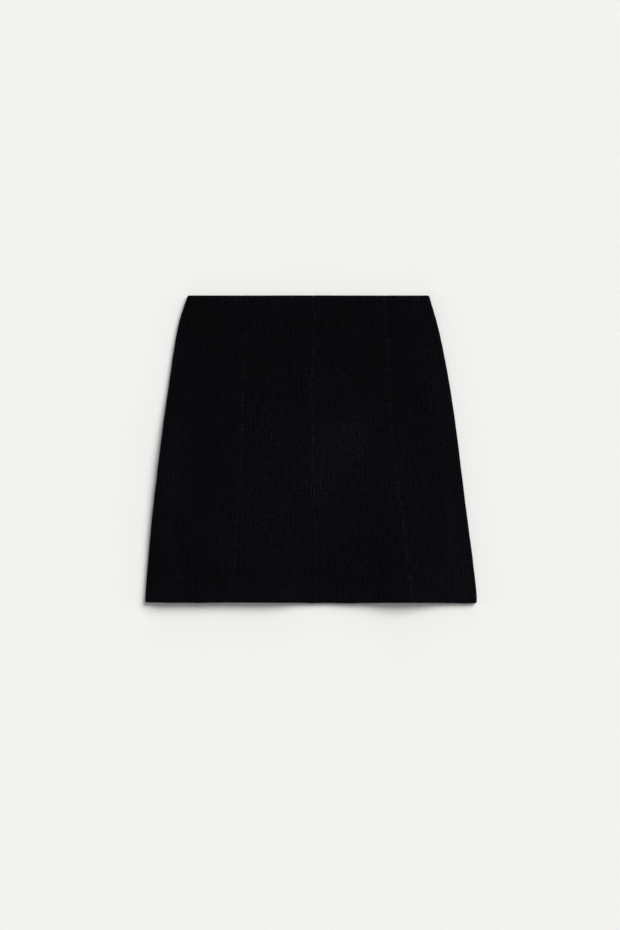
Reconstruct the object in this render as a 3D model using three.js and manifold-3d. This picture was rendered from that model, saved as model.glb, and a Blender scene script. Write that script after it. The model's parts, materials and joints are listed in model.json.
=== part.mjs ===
// Mini skirt in fine-ribbed corduroy, lying on a table with its front up and its waist towards +Y.
//
// The front is four panels with a centre seam and two side-front seams, the back is two panels with a
// concealed zip in their seam. Every panel is one cloth wall: it is two cloths thick where its waist edge,
// its hem and its seam allowances are turned in, its side edges roll round to the side seam, and the hem
// of the front lifts off the back in two waves. The ribs of the cloth run parallel down each front panel
// and run out at its slanting seams.
//
// Millimetres, +Z up. The origin is on the table under the middle of the skirt's outline.
// Left and right are as seen from above.

import * as THREE from 'three';
import { mergeVertices } from 'three/addons/utils/BufferGeometryUtils.js';
import Module from 'manifold-3d';

const { clamp, lerp, smoothstep, degToRad, inverseLerp } = THREE.MathUtils;

// ---- Driving dimensions ----

const LENGTH = 420; // from the waist edge to the hem edge
const CLOTH = 1.5; // one cloth, ribs apart
const GAP = 0.3; // between neighbouring pieces at a seam
const TURN_IN = 10; // depth of the turned waist edge
const TURN_UP = 12; // depth of the hem
const ALLOWANCE = 8; // width of a seam allowance, pressed open inside
const STEP = 1; // how far the second cloth's edge takes to thin out

const RIB_PITCH = 3.55;
const RIB_RISE = 0.6;
const RIB_CLEAR = 0.7; // a rib's line stops this far from a seam's roll
// How far each front panel's ribs turn from +Y, in degrees, with their lower ends to the right.
const RIB_LEAN = { sideLeft: -1, centreLeft: 1.5, centreRight: 0.5, sideRight: 3 };

const SIDE_ROLL = 3.4; // radius of the rolled side edge, half of its height
const FRONT_LEVEL = 6.4; // height of the front's face where it lies flat
const EDGE_CALM = 34; // folds die out over this distance from a side edge

// Where the edges and seams lie at some distances below the waist, from the middle of the outline.
const SECTIONS = [
  { below: 0, leftEdge: -168.5, leftSeam: -96, centreSeam: 2, rightSeam: 101, rightEdge: 161 },
  { below: 30, leftEdge: -178.5, leftSeam: -90, centreSeam: 6, rightSeam: 103, rightEdge: 170 },
  { below: 60, leftEdge: -185, leftSeam: -88.5, centreSeam: 5, rightSeam: 105, rightEdge: 177.5 },
  { below: 120, leftEdge: -194, leftSeam: -92, centreSeam: 2.5, rightSeam: 107.5, rightEdge: 189 },
  { below: 180, leftEdge: -202.5, leftSeam: -94, centreSeam: 3, rightSeam: 111.5, rightEdge: 198 },
  { below: 240, leftEdge: -210, leftSeam: -96.5, centreSeam: 4, rightSeam: 117.5, rightEdge: 205.5 },
  { below: 300, leftEdge: -217, leftSeam: -100, centreSeam: 7, rightSeam: 125, rightEdge: 213 },
  { below: 360, leftEdge: -222.5, leftSeam: -104, centreSeam: 8, rightSeam: 132.5, rightEdge: 221 },
  { below: 405, leftEdge: -226, leftSeam: -110.5, centreSeam: 9, rightSeam: 138, rightEdge: 226 },
  { below: LENGTH, leftEdge: -226.5, leftSeam: -116, centreSeam: 8.5, rightSeam: 139.5, rightEdge: 226.5 },
];

// The back seam is straight.
const BACK_SEAM = { atWaist: -10, atHem: -8.5 };

// Soft rises and hollows of the front. Each is long in the direction of turn, degrees from +X, where it
// fades over reach, and fades over width across it.
const FOLDS = [
  { name: 'left hem wave', x: -112, below: 420, turn: 90, reach: 170, width: 70, rise: 6 },
  { name: 'right hem wave', x: 118, below: 420, turn: 86, reach: 170, width: 52, rise: 8 },
  { name: 'fullness over the hips', x: 0, below: 170, turn: 0, reach: 130, width: 80, rise: 0.5 },
  { name: 'pillow right of the centre', x: 57, below: 255, turn: 56, reach: 58, width: 36, rise: 2.2 },
  { name: 'ridge down the left side', x: -174, below: 215, turn: 83, reach: 90, width: 17, rise: 1.8 },
  { name: 'hollow beside that ridge', x: -145, below: 200, turn: 85, reach: 85, width: 15, rise: -1.5 },
  { name: 'ridge down the right side', x: 184, below: 300, turn: 80, reach: 80, width: 15, rise: 1.2 },
  { name: 'hollow left of the waist', x: -120, below: 62, turn: 10, reach: 60, width: 26, rise: -0.9 },
  { name: 'rise over the zip slider', x: -10, below: 18, turn: 90, reach: 34, width: 42, rise: 2.2 },
];

// The zip, in the back seam. Its tab lies outside the cloth, which is lifted over it.
const ZIP_END = 190; // distance below the waist
const ZIP_TAPE = { halfWidth: 11, thick: 0.6, lag: 2 }; // it bends this much further down than the cloth
const ZIP_COIL = { halfWidth: 2.2, thick: 1.2, slope: 0.25 };
const TAB_ROOM = { lift: 2, halfWidth: 2.5, outerHalf: 12.5, from: 10, to: 39, ramp: 7 };

const PIVOT = { below: 14, z: 1.15 }; // axis of the pull tab, along X
const TUNNEL = 0.72; // half the size of the crown's tunnel, which holds the tab's bar
const CROWN = { wide: 1.6, wall: 0.6, lip: 0.35, root: 0.5 }; // its stem runs this far into the slider
const STEM_ROOM = TUNNEL + CROWN.wall + GAP; // half the length of the opening that the stem needs
const TAB = { thick: 0.9, bar: 0.8, length: 22, wide: 4.6, neck: 4.2, neckLong: 4, hole: 2.8, holeLong: 2.2 };
const SLIDER = { from: 11.8, to: 20.4, wide: 7, bottom: 3.8, top: 6, bevel: 1.4, nose: 4 };
const CHAIN = { from: SLIDER.from + SLIDER.nose + GAP, to: ZIP_END - 4 };

// ---- Outline and heights ----

/** Where an edge or seam lies at a distance below the waist, on a smooth curve through the sections. */
function across(column, below) {
  if (column === 'backSeam') return lerp(BACK_SEAM.atWaist, BACK_SEAM.atHem, below / LENGTH);
  const last = SECTIONS.length - 1;
  let i = 0;
  while (i < last - 1 && below > SECTIONS[i + 1].below) i++;
  const slopeAt = (k) => {
    const [before, after] = [SECTIONS[Math.max(k - 1, 0)], SECTIONS[Math.min(k + 1, last)]];
    return (after[column] - before[column]) / (after.below - before.below);
  };
  const [from, to] = [SECTIONS[i], SECTIONS[i + 1]];
  const span = to.below - from.below;
  const t = (below - from.below) / span;
  return (
    from[column] * (1 + 2 * t) * (1 - t) ** 2 +
    to[column] * (3 - 2 * t) * t ** 2 +
    span * t * (1 - t) * (slopeAt(i) * (1 - t) - slopeAt(i + 1) * t)
  );
}

function foldRise(fold, x, below) {
  const turn = degToRad(fold.turn);
  const [dx, dy] = [x - fold.x, fold.below - below];
  const along = dx * Math.cos(turn) + dy * Math.sin(turn);
  const beside = dy * Math.cos(turn) - dx * Math.sin(turn);
  return fold.rise * Math.exp(-((along / fold.reach) ** 2) - (beside / fold.width) ** 2);
}

/** Height of the front's face at the bottom of its ribs. */
function frontFace(x, below) {
  const toEdge = Math.min(x - across('leftEdge', below), across('rightEdge', below) - x);
  const calm = smoothstep(toEdge, SIDE_ROLL, EDGE_CALM);
  const rise = FOLDS.reduce((sum, fold) => sum + foldRise(fold, x, below), 0);
  return lerp(2 * SIDE_ROLL, FRONT_LEVEL + rise, calm);
}

/** Height of the back's underside: on the table, but for the room that the zip's tab lies in. */
function backFace(x, below) {
  const { lift, halfWidth, outerHalf, from, to, ramp } = TAB_ROOM;
  const share = (start, end, at) => clamp(inverseLerp(start, end, at), 0, 1);
  const beside = share(outerHalf, halfWidth, Math.abs(x - across('backSeam', below)));
  return lift * beside * share(from - ramp, from, below) * share(to + ramp, to, below);
}

const FRONT = { face: frontFace, out: 1, seamZ: SIDE_ROLL + GAP / 2 };
const BACK = { face: backFace, out: -1, seamZ: SIDE_ROLL - GAP / 2 };

/** Half the gap at a seam. The back seam opens round the stem of the zip's slider. */
function halfGap(column, below) {
  const atStem = Math.abs(below - PIVOT.below) < STEM_ROOM;
  return column === 'backSeam' && atStem ? CROWN.wide / 2 + GAP : GAP / 2;
}

/** How many cloths lie on each other away from the borders. */
function clothsInside(below) {
  return below < TURN_IN || below > LENGTH - TURN_UP ? 2 : 1;
}

const besideZip = (column, below) => column === 'backSeam' && below < ZIP_END;

/** How many cloths lie on each other within an allowance of a border. The zip takes the place of one. */
function clothsAtBorder(column, below) {
  return besideZip(column, below) ? clothsInside(below) : 2;
}

// ---- Rows of points, from the left border of a panel to its right border ----

// How the cloth rounds over at the waist and hem edges, and at a seam: the distance in from the border
// and how far the face drops there.
const EDGE_ROUND = [
  { inward: 0, drop: 1.1 },
  { inward: 0.35, drop: 0.4 },
  { inward: 1.2, drop: 0 },
];
const SEAM_ROUND = [
  { inward: 0, drop: 0.7 },
  { inward: 0.9, drop: 0.25 },
  { inward: TAB_ROOM.halfWidth, drop: 0 },
];
const TAB_ROOM_EDGE = { inward: TAB_ROOM.outerHalf, drop: 0 };
const ROLL_STEPS = 3; // facets of a quarter of the side roll
const BORDER_KEY = 1000; // keys of border points lie beyond every x
const COARSE_COLUMNS = 5;

const point = (x, below, z) => new THREE.Vector3(x, LENGTH / 2 - below, z);
const isSide = (column) => column.endsWith('Edge');

/** How far the face has dropped at this distance below the waist, from the rounding of the two edges. */
function edgeDrop(below) {
  const inward = Math.min(below, LENGTH - below);
  return EDGE_ROUND.find((step) => inward <= step.inward + 1e-6)?.drop ?? 0;
}

/** The points at a rolled side edge, outermost first: a quarter circle, and the step of its allowance. */
function sideBorder(side, column, below, inner) {
  const inward = column === 'leftEdge' ? 1 : -1;
  const edge = across(column, below);
  const outerRadius = SIDE_ROLL - GAP / 2;
  const radius = inner ? outerRadius - 2 * CLOTH + edgeDrop(below) : outerRadius - edgeDrop(below);
  const points = [];
  for (let i = 0; i <= ROLL_STEPS; i++) {
    const angle = (i / ROLL_STEPS) * (Math.PI / 2);
    const x = edge + inward * (outerRadius - radius * Math.cos(angle));
    points.push(point(x, below, side.seamZ + side.out * radius * Math.sin(angle)));
  }
  return points.concat(inner ? allowanceSteps(side, column, below, edge, inward) : []);
}

/** The points at a seam, outermost first. */
function seamBorder(side, column, below, inner, inward) {
  const border = across(column, below) + inward * halfGap(column, below);
  if (inner) {
    const z = innerZ(side, border, below, clothsAtBorder(column, below));
    return [point(border, below, z), ...allowanceSteps(side, column, below, border, inward)];
  }
  const steps = column === 'backSeam' ? [...SEAM_ROUND, TAB_ROOM_EDGE] : SEAM_ROUND;
  return steps.map((step) => {
    const x = border + inward * step.inward;
    return point(x, below, side.face(x, below) - side.out * Math.max(step.drop, edgeDrop(below)));
  });
}

/** The two points inside a border where the second cloth ends, or where the room for the tab does. */
function allowanceSteps(side, column, below, border, inward) {
  const inside = clothsInside(below);
  const steps = besideZip(column, below)
    ? [{ distance: TAB_ROOM.halfWidth, cloths: inside }, { distance: TAB_ROOM.outerHalf, cloths: inside }]
    : [{ distance: ALLOWANCE, cloths: 2 }, { distance: ALLOWANCE + STEP, cloths: inside }];
  return steps.map(({ distance, cloths }) => {
    const x = border + inward * distance;
    return point(x, below, innerZ(side, x, below, cloths));
  });
}

function innerZ(side, x, below, cloths) {
  return side.face(x, below) - side.out * (cloths * CLOTH - edgeDrop(below));
}

/** The places between the borders, by their offset from the grain: at each rib's top and foot. */
function ribColumns(from, to) {
  const half = RIB_PITCH / 2;
  const columns = [];
  for (let i = Math.ceil((from + RIB_CLEAR) / half); i * half < to - RIB_CLEAR; i++) {
    columns.push({ offset: i * half, rise: i % 2 === 0 ? RIB_RISE : 0 });
  }
  return columns;
}

/** A few evenly spaced places between the borders, by their offset from the grain. */
function plainColumns(from, to) {
  return Array.from({ length: COARSE_COLUMNS }, (_, i) => ({
    offset: lerp(from, to, (i + 1) / (COARSE_COLUMNS + 1)),
    rise: 0,
  }));
}

/** One row of a panel. Each point has a key, and neighbouring rows are joined where their keys agree. */
function panelRow(side, panel, below, { inner = false, ribbed = false }) {
  const [left, right] = [panel.left, panel.right].map((column, i) =>
    isSide(column)
      ? sideBorder(side, column, below, inner)
      : seamBorder(side, column, below, inner, i === 0 ? 1 : -1),
  );
  const grain = below * Math.tan(degToRad(panel.lean));
  const columns = (ribbed ? ribColumns : plainColumns)(left.at(-1).x - grain, right.at(-1).x - grain);
  const middle = columns.map(({ offset, rise }) => {
    const x = offset + grain;
    const z = inner
      ? innerZ(side, x, below, clothsInside(below))
      : side.face(x, below) + side.out * (rise - edgeDrop(below));
    return { key: offset, at: point(x, below, z) };
  });
  return {
    along: below,
    points: [
      ...left.map((at, i) => ({ key: i - BORDER_KEY, at })),
      ...middle,
      ...right.map((at, i) => ({ key: BORDER_KEY - i, at })).reverse(),
    ],
  };
}

// ---- Closed walls from rows ----

/** Joins two rows of points whose keys rise, and calls add(a, b, c) for each triangle between them. */
function stitch(rowA, rowB, add) {
  let [i, j] = [0, 0];
  while (i < rowA.length - 1 || j < rowB.length - 1) {
    const [keyA, keyB] = [rowA[i + 1]?.key ?? Infinity, rowB[j + 1]?.key ?? Infinity];
    if (Math.abs(keyA - keyB) < 1e-6) {
      add(rowA[i], rowB[j], rowB[j + 1]);
      add(rowA[i], rowB[++j], rowA[++i]);
    } else if (keyA < keyB) {
      add(rowA[i], rowB[j], rowA[++i]);
    } else {
      add(rowA[i], rowB[j], rowB[++j]);
    }
  }
}

/** A closed wall between the rows of its face and those of its inside, both listed along the same way. */
function wallGeometry(faceRows, innerRows, faceUp) {
  const positions = [];
  const add = (a, b, c) => {
    for (const corner of faceUp ? [a, b, c] : [a, c, b]) positions.push(...corner.at.toArray());
  };
  const ring = [...faceRows, ...[...innerRows].reverse()];
  ring.forEach((row, i) => stitch(row.points, ring[(i + 1) % ring.length].points, add));
  const border = (rows, end) => rows.map((row) => ({ key: row.along, at: row.points.at(end).at }));
  stitch(border(faceRows, 0), border(innerRows, 0), add);
  stitch(border(innerRows, -1), border(faceRows, -1), add);
  return new THREE.BufferGeometry().setAttribute('position', new THREE.Float32BufferAttribute(positions, 3));
}

// ---- Materials ----

const clothMaterial = new THREE.MeshStandardMaterial({ color: 0x0c0b10, roughness: 0.95, metalness: 0 });
const tapeMaterial = new THREE.MeshStandardMaterial({ color: 0x111014, roughness: 0.8, metalness: 0 });
const zipMaterial = new THREE.MeshStandardMaterial({ color: 0x15141a, roughness: 0.45, metalness: 0.6 });

function named(name, geometry, material) {
  const mesh = new THREE.Mesh(geometry, material);
  mesh.name = name;
  return mesh;
}

// ---- Front and back panels ----

const ROUND_ROWS = EDGE_ROUND.map((step) => step.inward);
const FRONT_ROWS = [TURN_IN, 30, 58, 90, 120, 150, 185, 220, 255, 290, 320, 350, 380, LENGTH - TURN_UP];
const BACK_ROWS = [60, 120, 180, 240, 300, 360, 405];
const STEP_ROWS = [TURN_IN - STEP, TURN_IN, LENGTH - TURN_UP, LENGTH - TURN_UP + STEP];
const STEM_ROWS = [-STEM_ROOM - 0.4, 0.3 - STEM_ROOM, STEM_ROOM - 0.3, STEM_ROOM + 0.4]
  .map((step) => PIVOT.below + step);
const TAB_ROOM_ENDS = [TAB_ROOM.to, TAB_ROOM.to + TAB_ROOM.ramp];
const ZIP_ROWS = [TAB_ROOM.from - TAB_ROOM.ramp, ...TAB_ROOM_ENDS, ...STEM_ROWS, ZIP_END - STEP, ZIP_END];

/** All the distances below the waist at which a panel has rows, in order. */
function rowPlaces(...lists) {
  const places = [...lists.flat(), ...ROUND_ROWS, ...ROUND_ROWS.map((inward) => LENGTH - inward)];
  return [...new Set(places)].sort((a, b) => a - b);
}

function frontPanel(name, left, right, lean) {
  const panel = { left, right, lean };
  const isEdge = (below) => edgeDrop(below) > 0;
  const faceRows = rowPlaces(FRONT_ROWS).map((below) =>
    panelRow(FRONT, panel, below, { ribbed: !isEdge(below) }));
  const innerRows = rowPlaces(FRONT_ROWS, STEP_ROWS).map((below) =>
    panelRow(FRONT, panel, below, { inner: true }));
  return named(name, wallGeometry(faceRows, innerRows, true), clothMaterial);
}

function backPanel(name, left, right) {
  const panel = { left, right, lean: 0 };
  const places = rowPlaces(BACK_ROWS, STEP_ROWS, ZIP_ROWS);
  const faceRows = places.map((below) => panelRow(BACK, panel, below, {}));
  const innerRows = places.map((below) => panelRow(BACK, panel, below, { inner: true }));
  return named(name, wallGeometry(faceRows, innerRows, false), clothMaterial);
}

// ---- The zip ----

/** The closed chain: a tape sewn inside the back seam, with its coil as a rib down the middle. */
function zipChain() {
  const coilFoot = ZIP_COIL.halfWidth + ZIP_COIL.slope;
  const profile = [-ZIP_TAPE.halfWidth, -coilFoot, -ZIP_COIL.halfWidth, 0, ZIP_COIL.halfWidth, coilFoot]
    .concat(ZIP_TAPE.halfWidth);
  const bends = TAB_ROOM_ENDS.map((below) => below + ZIP_TAPE.lag);
  const places = [CHAIN.from, ...bends, 60, 90, 120, 150, CHAIN.to];
  const rowAt = (below, heightAt) => ({
    along: below,
    points: profile.map((aside) => {
      const x = across('backSeam', below) + aside;
      const foot = backFace(x, below - ZIP_TAPE.lag) + CLOTH + GAP;
      return { key: aside, at: point(x, below, foot + heightAt(Math.abs(aside))) };
    }),
  });
  const thickness = (aside) => (aside <= ZIP_COIL.halfWidth ? ZIP_COIL.thick : ZIP_TAPE.thick);
  const faceRows = places.map((below) => rowAt(below, thickness));
  const innerRows = places.map((below) => rowAt(below, () => 0));
  return named('zip_chain', wallGeometry(faceRows, innerRows, true), tapeMaterial);
}

function rectangle(fromX, toX, fromY, toY) {
  return new THREE.Shape()
    .moveTo(fromX, fromY)
    .lineTo(toX, fromY)
    .lineTo(toX, toY)
    .lineTo(fromX, toY)
    .closePath();
}

function boxAt(fromX, toX, fromBelow, toBelow, fromZ, toZ) {
  const box = new THREE.BoxGeometry(toX - fromX, toBelow - fromBelow, toZ - fromZ);
  const middle = point((fromX + toX) / 2, (fromBelow + toBelow) / 2, (fromZ + toZ) / 2);
  return box.translate(middle.x, middle.y, middle.z);
}

/** The crown of the slider: a loop under the cloth round the tab's bar, on a stem through the seam. */
function crownGeometry(x) {
  const side = TUNNEL + CROWN.wall;
  const profile = rectangle(-side, side, -TUNNEL - CROWN.lip, SLIDER.bottom + CROWN.root - PIVOT.z);
  profile.holes.push(rectangle(-TUNNEL, TUNNEL, -TUNNEL, TUNNEL));
  const loop = new THREE.ExtrudeGeometry(profile, { depth: CROWN.wide, bevelEnabled: false });
  // The profile's x runs towards the hem and its y up.
  const place = new THREE.Matrix4().makeBasis(
    new THREE.Vector3(0, -1, 0),
    new THREE.Vector3(0, 0, 1),
    new THREE.Vector3(-1, 0, 0),
  );
  const at = point(x + CROWN.wide / 2, PIVOT.below, PIVOT.z);
  return loop.applyMatrix4(place.setPosition(at));
}

/** The slider's body, a bevelled block over the top of the coil. */
function sliderBodyGeometry(x) {
  const [half, bevel] = [SLIDER.wide / 2, SLIDER.bevel];
  const top = LENGTH / 2 - SLIDER.from;
  const foot = LENGTH / 2 - SLIDER.to;
  const outline = new THREE.Shape()
    .moveTo(x - half + bevel, foot)
    .lineTo(x + half - bevel, foot)
    .lineTo(x + half, foot + 2 * bevel)
    .lineTo(x + half, top - bevel)
    .lineTo(x + half - bevel, top)
    .lineTo(x - half + bevel, top)
    .lineTo(x - half, top - bevel)
    .lineTo(x - half, foot + 2 * bevel)
    .closePath();
  const depth = SLIDER.top - SLIDER.bottom;
  const block = new THREE.ExtrudeGeometry(outline, { depth, bevelEnabled: false });
  return block.translate(0, 0, SLIDER.bottom);
}

function zipSlider(wasm) {
  const x = across('backSeam', PIVOT.below);
  const tapeTop = TAB_ROOM.lift + CLOTH + GAP + ZIP_TAPE.thick + GAP;
  const coilTop = TAB_ROOM.lift + CLOTH + GAP + ZIP_COIL.thick + GAP;
  const coilHalf = ZIP_COIL.halfWidth + ZIP_COIL.slope + GAP;
  const roomFrom = CHAIN.from - GAP;
  const roomTo = SLIDER.to + GAP; // past the block, so that the cut is open
  const tapeRoom = boxAt(x - ZIP_TAPE.halfWidth, x + ZIP_TAPE.halfWidth, roomFrom, roomTo, 0, tapeTop);
  const coilRoom = boxAt(x - coilHalf, x + coilHalf, roomFrom, roomTo, 0, coilTop);
  const body = asSolid(wasm, sliderBodyGeometry(x))
    .add(asSolid(wasm, crownGeometry(x)))
    .subtract(asSolid(wasm, tapeRoom))
    .subtract(asSolid(wasm, coilRoom));
  return named('zip_slider', asGeometry(body), zipMaterial);
}

/** The pull tab: a drop-shaped plate with an eye, whose end is the bar that turns in the crown. */
function zipTab() {
  const { thick, bar, length, wide, neck, neckLong, hole, holeLong } = TAB;
  const end = bar / 2;
  const outline = new THREE.Shape()
    .moveTo(-neck / 2, end)
    .lineTo(-neck / 2, end - neckLong)
    .lineTo(-wide / 2, wide / 2 - length)
    .absarc(0, wide / 2 - length, wide / 2, Math.PI, 2 * Math.PI, false)
    .lineTo(neck / 2, end - neckLong)
    .lineTo(neck / 2, end)
    .closePath();
  outline.holes.push(rectangle(-hole / 2, hole / 2, -end - holeLong, -end));
  const plate = new THREE.ExtrudeGeometry(outline, { depth: thick, bevelEnabled: false, curveSegments: 8 });
  const at = point(across('backSeam', PIVOT.below), PIVOT.below, PIVOT.z - thick / 2);
  return named('zip_tab', plate.translate(at.x, at.y, at.z), zipMaterial);
}

// ---- Solids for the booleans ----

function asSolid(wasm, geometry) {
  const bare = geometry.clone();
  bare.deleteAttribute('normal');
  bare.deleteAttribute('uv');
  const merged = mergeVertices(bare, 1e-4);
  return new wasm.Manifold(
    new wasm.Mesh({
      numProp: 3,
      vertProperties: merged.attributes.position.array,
      triVerts: new Uint32Array(merged.index.array),
    }),
  );
}

function asGeometry(solid) {
  const { vertProperties, triVerts } = solid.getMesh();
  return new THREE.BufferGeometry()
    .setAttribute('position', new THREE.BufferAttribute(new Float32Array(vertProperties), 3))
    .setIndex(new THREE.BufferAttribute(new Uint32Array(triVerts), 1));
}

// ---- The skirt ----

const wasm = await Module();
wasm.setup();

const skirt = new THREE.Group();
skirt.add(
  frontPanel('front_side_left', 'leftEdge', 'leftSeam', RIB_LEAN.sideLeft),
  frontPanel('front_centre_left', 'leftSeam', 'centreSeam', RIB_LEAN.centreLeft),
  frontPanel('front_centre_right', 'centreSeam', 'rightSeam', RIB_LEAN.centreRight),
  frontPanel('front_side_right', 'rightSeam', 'rightEdge', RIB_LEAN.sideRight),
  backPanel('back_left', 'leftEdge', 'backSeam'),
  backPanel('back_right', 'backSeam', 'rightEdge'),
  zipChain(),
  zipSlider(wasm),
  zipTab(),
);

export default skirt;
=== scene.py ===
"""Mini skirt in wide-ribbed black corduroy, laid front up on a pale table with its waist towards +Y.

Sizes are in millimetres until a mesh is made. "below" is the distance below the waist edge, and x runs
to the right from the middle of the skirt's outline, as seen from above.
"""

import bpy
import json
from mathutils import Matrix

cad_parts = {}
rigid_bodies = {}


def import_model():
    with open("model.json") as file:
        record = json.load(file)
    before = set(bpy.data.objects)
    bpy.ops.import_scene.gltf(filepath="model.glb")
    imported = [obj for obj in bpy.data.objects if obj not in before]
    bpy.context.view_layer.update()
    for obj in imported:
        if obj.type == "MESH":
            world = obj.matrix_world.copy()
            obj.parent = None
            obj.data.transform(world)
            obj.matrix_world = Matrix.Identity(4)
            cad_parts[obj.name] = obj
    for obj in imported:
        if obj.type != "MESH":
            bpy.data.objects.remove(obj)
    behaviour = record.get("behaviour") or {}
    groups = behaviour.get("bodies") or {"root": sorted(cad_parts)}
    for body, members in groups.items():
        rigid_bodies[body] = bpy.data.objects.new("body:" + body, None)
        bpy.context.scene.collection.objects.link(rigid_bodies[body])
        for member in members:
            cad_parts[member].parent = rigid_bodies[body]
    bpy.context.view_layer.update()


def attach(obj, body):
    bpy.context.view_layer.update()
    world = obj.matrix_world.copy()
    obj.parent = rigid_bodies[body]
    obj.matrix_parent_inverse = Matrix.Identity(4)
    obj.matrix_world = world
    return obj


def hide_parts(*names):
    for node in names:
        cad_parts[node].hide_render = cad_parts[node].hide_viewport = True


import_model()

import json
import logging
import math
from collections.abc import Callable, Sequence
from dataclasses import dataclass, field
from enum import Enum

import bpy
import numpy as np
from mathutils import Vector

LOG = logging.getLogger("mini_skirt")
MM = 0.001

Array = np.ndarray
Colour = tuple[float, float, float]
Triple = tuple[float, float, float]
Stops = tuple[tuple[float, float], ...]

SIDE_ROLL = 3.4  # radius of the rolled side edge, half of its height
GAP = 0.3  # between neighbouring pieces at a seam
ROLL_RADIUS = SIDE_ROLL - GAP / 2  # outer radius of a panel's rolled side edge
FAR = 1e3  # stands for the distance to a seam that a panel doesn't have
BORDER_KEY = 1e6  # key of a border's point, beyond every line of the ribs
EDGE_ANGLES = (0, 20, 40, 60, 90)  # degrees round a turned edge at which its rows of points lie
HAIR = 1e-6  # two distances that differ by less are the same
FACING = 0.9  # a face looks along an axis if its normal has more of it than this


# ---- Helpers for sizes and shapes ----


def straight_step(value: Array | float, low: float, high: float) -> Array | float:
    """A straight ramp from 0 at low to 1 at high."""
    return np.clip((value - low) / (high - low), 0.0, 1.0)


def smooth_step(value: Array | float, low: float, high: float) -> Array | float:
    """A soft step from 0 at low to 1 at high.

    Args:
        value: where the step is read.
        low: the step's foot.
        high: the step's top.

    Returns:
        The step's height at each value.
    """
    share = straight_step(value, low, high)
    return share * share * (3.0 - 2.0 * share)


def uneven(along: Array | float, across: Array | float, seed: float) -> Array | float:
    """Smooth uneven waves between about -1 and 1, a few radians long both ways.

    Its three waves run aslant to each other and have no length in common, so the pattern never repeats.

    Args:
        along: first coordinate, in radians of the main wave.
        across: second coordinate.
        seed: shifts the pattern.

    Returns:
        The wave's height at each place.
    """
    first = np.sin(along + 1.3 * seed + 1.6 * np.sin(0.83 * across + seed))
    second = np.sin(0.61 * along - 1.09 * across + 2.1 * seed)
    third = np.sin(1.73 * along + 0.57 * across + 0.7 * seed + np.sin(0.31 * along - seed))
    return (first + second + third) / 3.0


# ---- Finishes ----


class NodeSheet:
    """A material under construction: its node tree, with short calls to add and join nodes."""

    def __init__(self, name: str) -> None:
        """Starts an empty material.

        Args:
            name: the material's name.
        """
        self.material = bpy.data.materials.new(name)
        self.material.use_nodes = True
        self.tree = self.material.node_tree
        self.tree.nodes.clear()

    def add(self, kind: str, inputs: dict | None = None, **settings: object) -> bpy.types.Node:
        """Adds a node.

        Args:
            kind: the node's type name.
            inputs: sockets by name or number, each with a value or the output that feeds it.
            settings: the node's own properties.

        Returns:
            The new node.
        """
        node = self.tree.nodes.new(kind)
        for key, value in settings.items():
            setattr(node, key, value)
        for key, value in (inputs or {}).items():
            if isinstance(value, bpy.types.NodeSocket):
                self.tree.links.new(value, node.inputs[key])
            else:
                node.inputs[key].default_value = value
        return node

    def maths(self, operation: str, first: object, second: object = 0.0) -> bpy.types.NodeSocket:
        """The result of one arithmetic step on two values or outputs."""
        return self.add("ShaderNodeMath", {0: first, 1: second}, operation=operation).outputs[0]

    def noise(
        self, vector: object, scale: float, detail: float = 2.0, rough: float = 0.6
    ) -> bpy.types.NodeSocket:
        """Even noise around 0.5 on the given coordinates."""
        sockets = {"Vector": vector, "Scale": scale, "Detail": detail, "Roughness": rough}
        return self.add("ShaderNodeTexNoise", sockets).outputs["Fac"]

    def stretch(self, vector: object, scale: Triple) -> bpy.types.NodeSocket:
        """The coordinates scaled by three factors."""
        return self.add("ShaderNodeMapping", {"Vector": vector, "Scale": scale}).outputs[0]

    def ramp(self, factor: object, stops: Stops) -> bpy.types.NodeSocket:
        """A value read from a ramp of (place, level) stops.

        Args:
            factor: the output that runs along the ramp.
            stops: two or more places with their grey levels.

        Returns:
            The ramp's output.
        """
        node = self.add("ShaderNodeValToRGB", {"Fac": factor})
        while len(node.color_ramp.elements) < len(stops):
            node.color_ramp.elements.new(0.5)
        for element, (place, level) in zip(node.color_ramp.elements, stops):
            element.position = place
            element.color = (level, level, level, 1.0)
        return node.outputs["Color"]

    def mix(
        self, factor: object, first: object, second: object, blend: str = "MIX"
    ) -> bpy.types.NodeSocket:
        """Two colours mixed.

        Args:
            factor: share of the second colour.
            first: a colour or an output.
            second: a colour or an output.
            blend: the way they are mixed.

        Returns:
            The mixed colour.
        """
        sockets = {0: factor}
        for number, value in ((6, first), (7, second)):
            sockets[number] = value if isinstance(value, bpy.types.NodeSocket) else (*value, 1.0)
        node = self.add("ShaderNodeMix", sockets, data_type="RGBA", blend_type=blend)
        return node.outputs[2]

    def finish(
        self, shader_inputs: dict, bumps: Sequence[tuple[object, float, float]] = ()
    ) -> bpy.types.Material:
        """Ends the material in one shader.

        Args:
            shader_inputs: the shader's sockets.
            bumps: heights with their strength and their distance in metres, coarsest first.

        Returns:
            The finished material.
        """
        normal = None
        for height, strength, distance in bumps:
            sockets = {"Height": height, "Strength": strength, "Distance": distance}
            if normal is not None:
                sockets["Normal"] = normal
            normal = self.add("ShaderNodeBump", sockets).outputs[0]
        if normal is not None:
            shader_inputs = {**shader_inputs, "Normal": normal}
        shader = self.add("ShaderNodeBsdfPrincipled", shader_inputs)
        output = self.add("ShaderNodeOutputMaterial")
        self.tree.links.new(shader.outputs[0], output.inputs[0])
        return self.material


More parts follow.
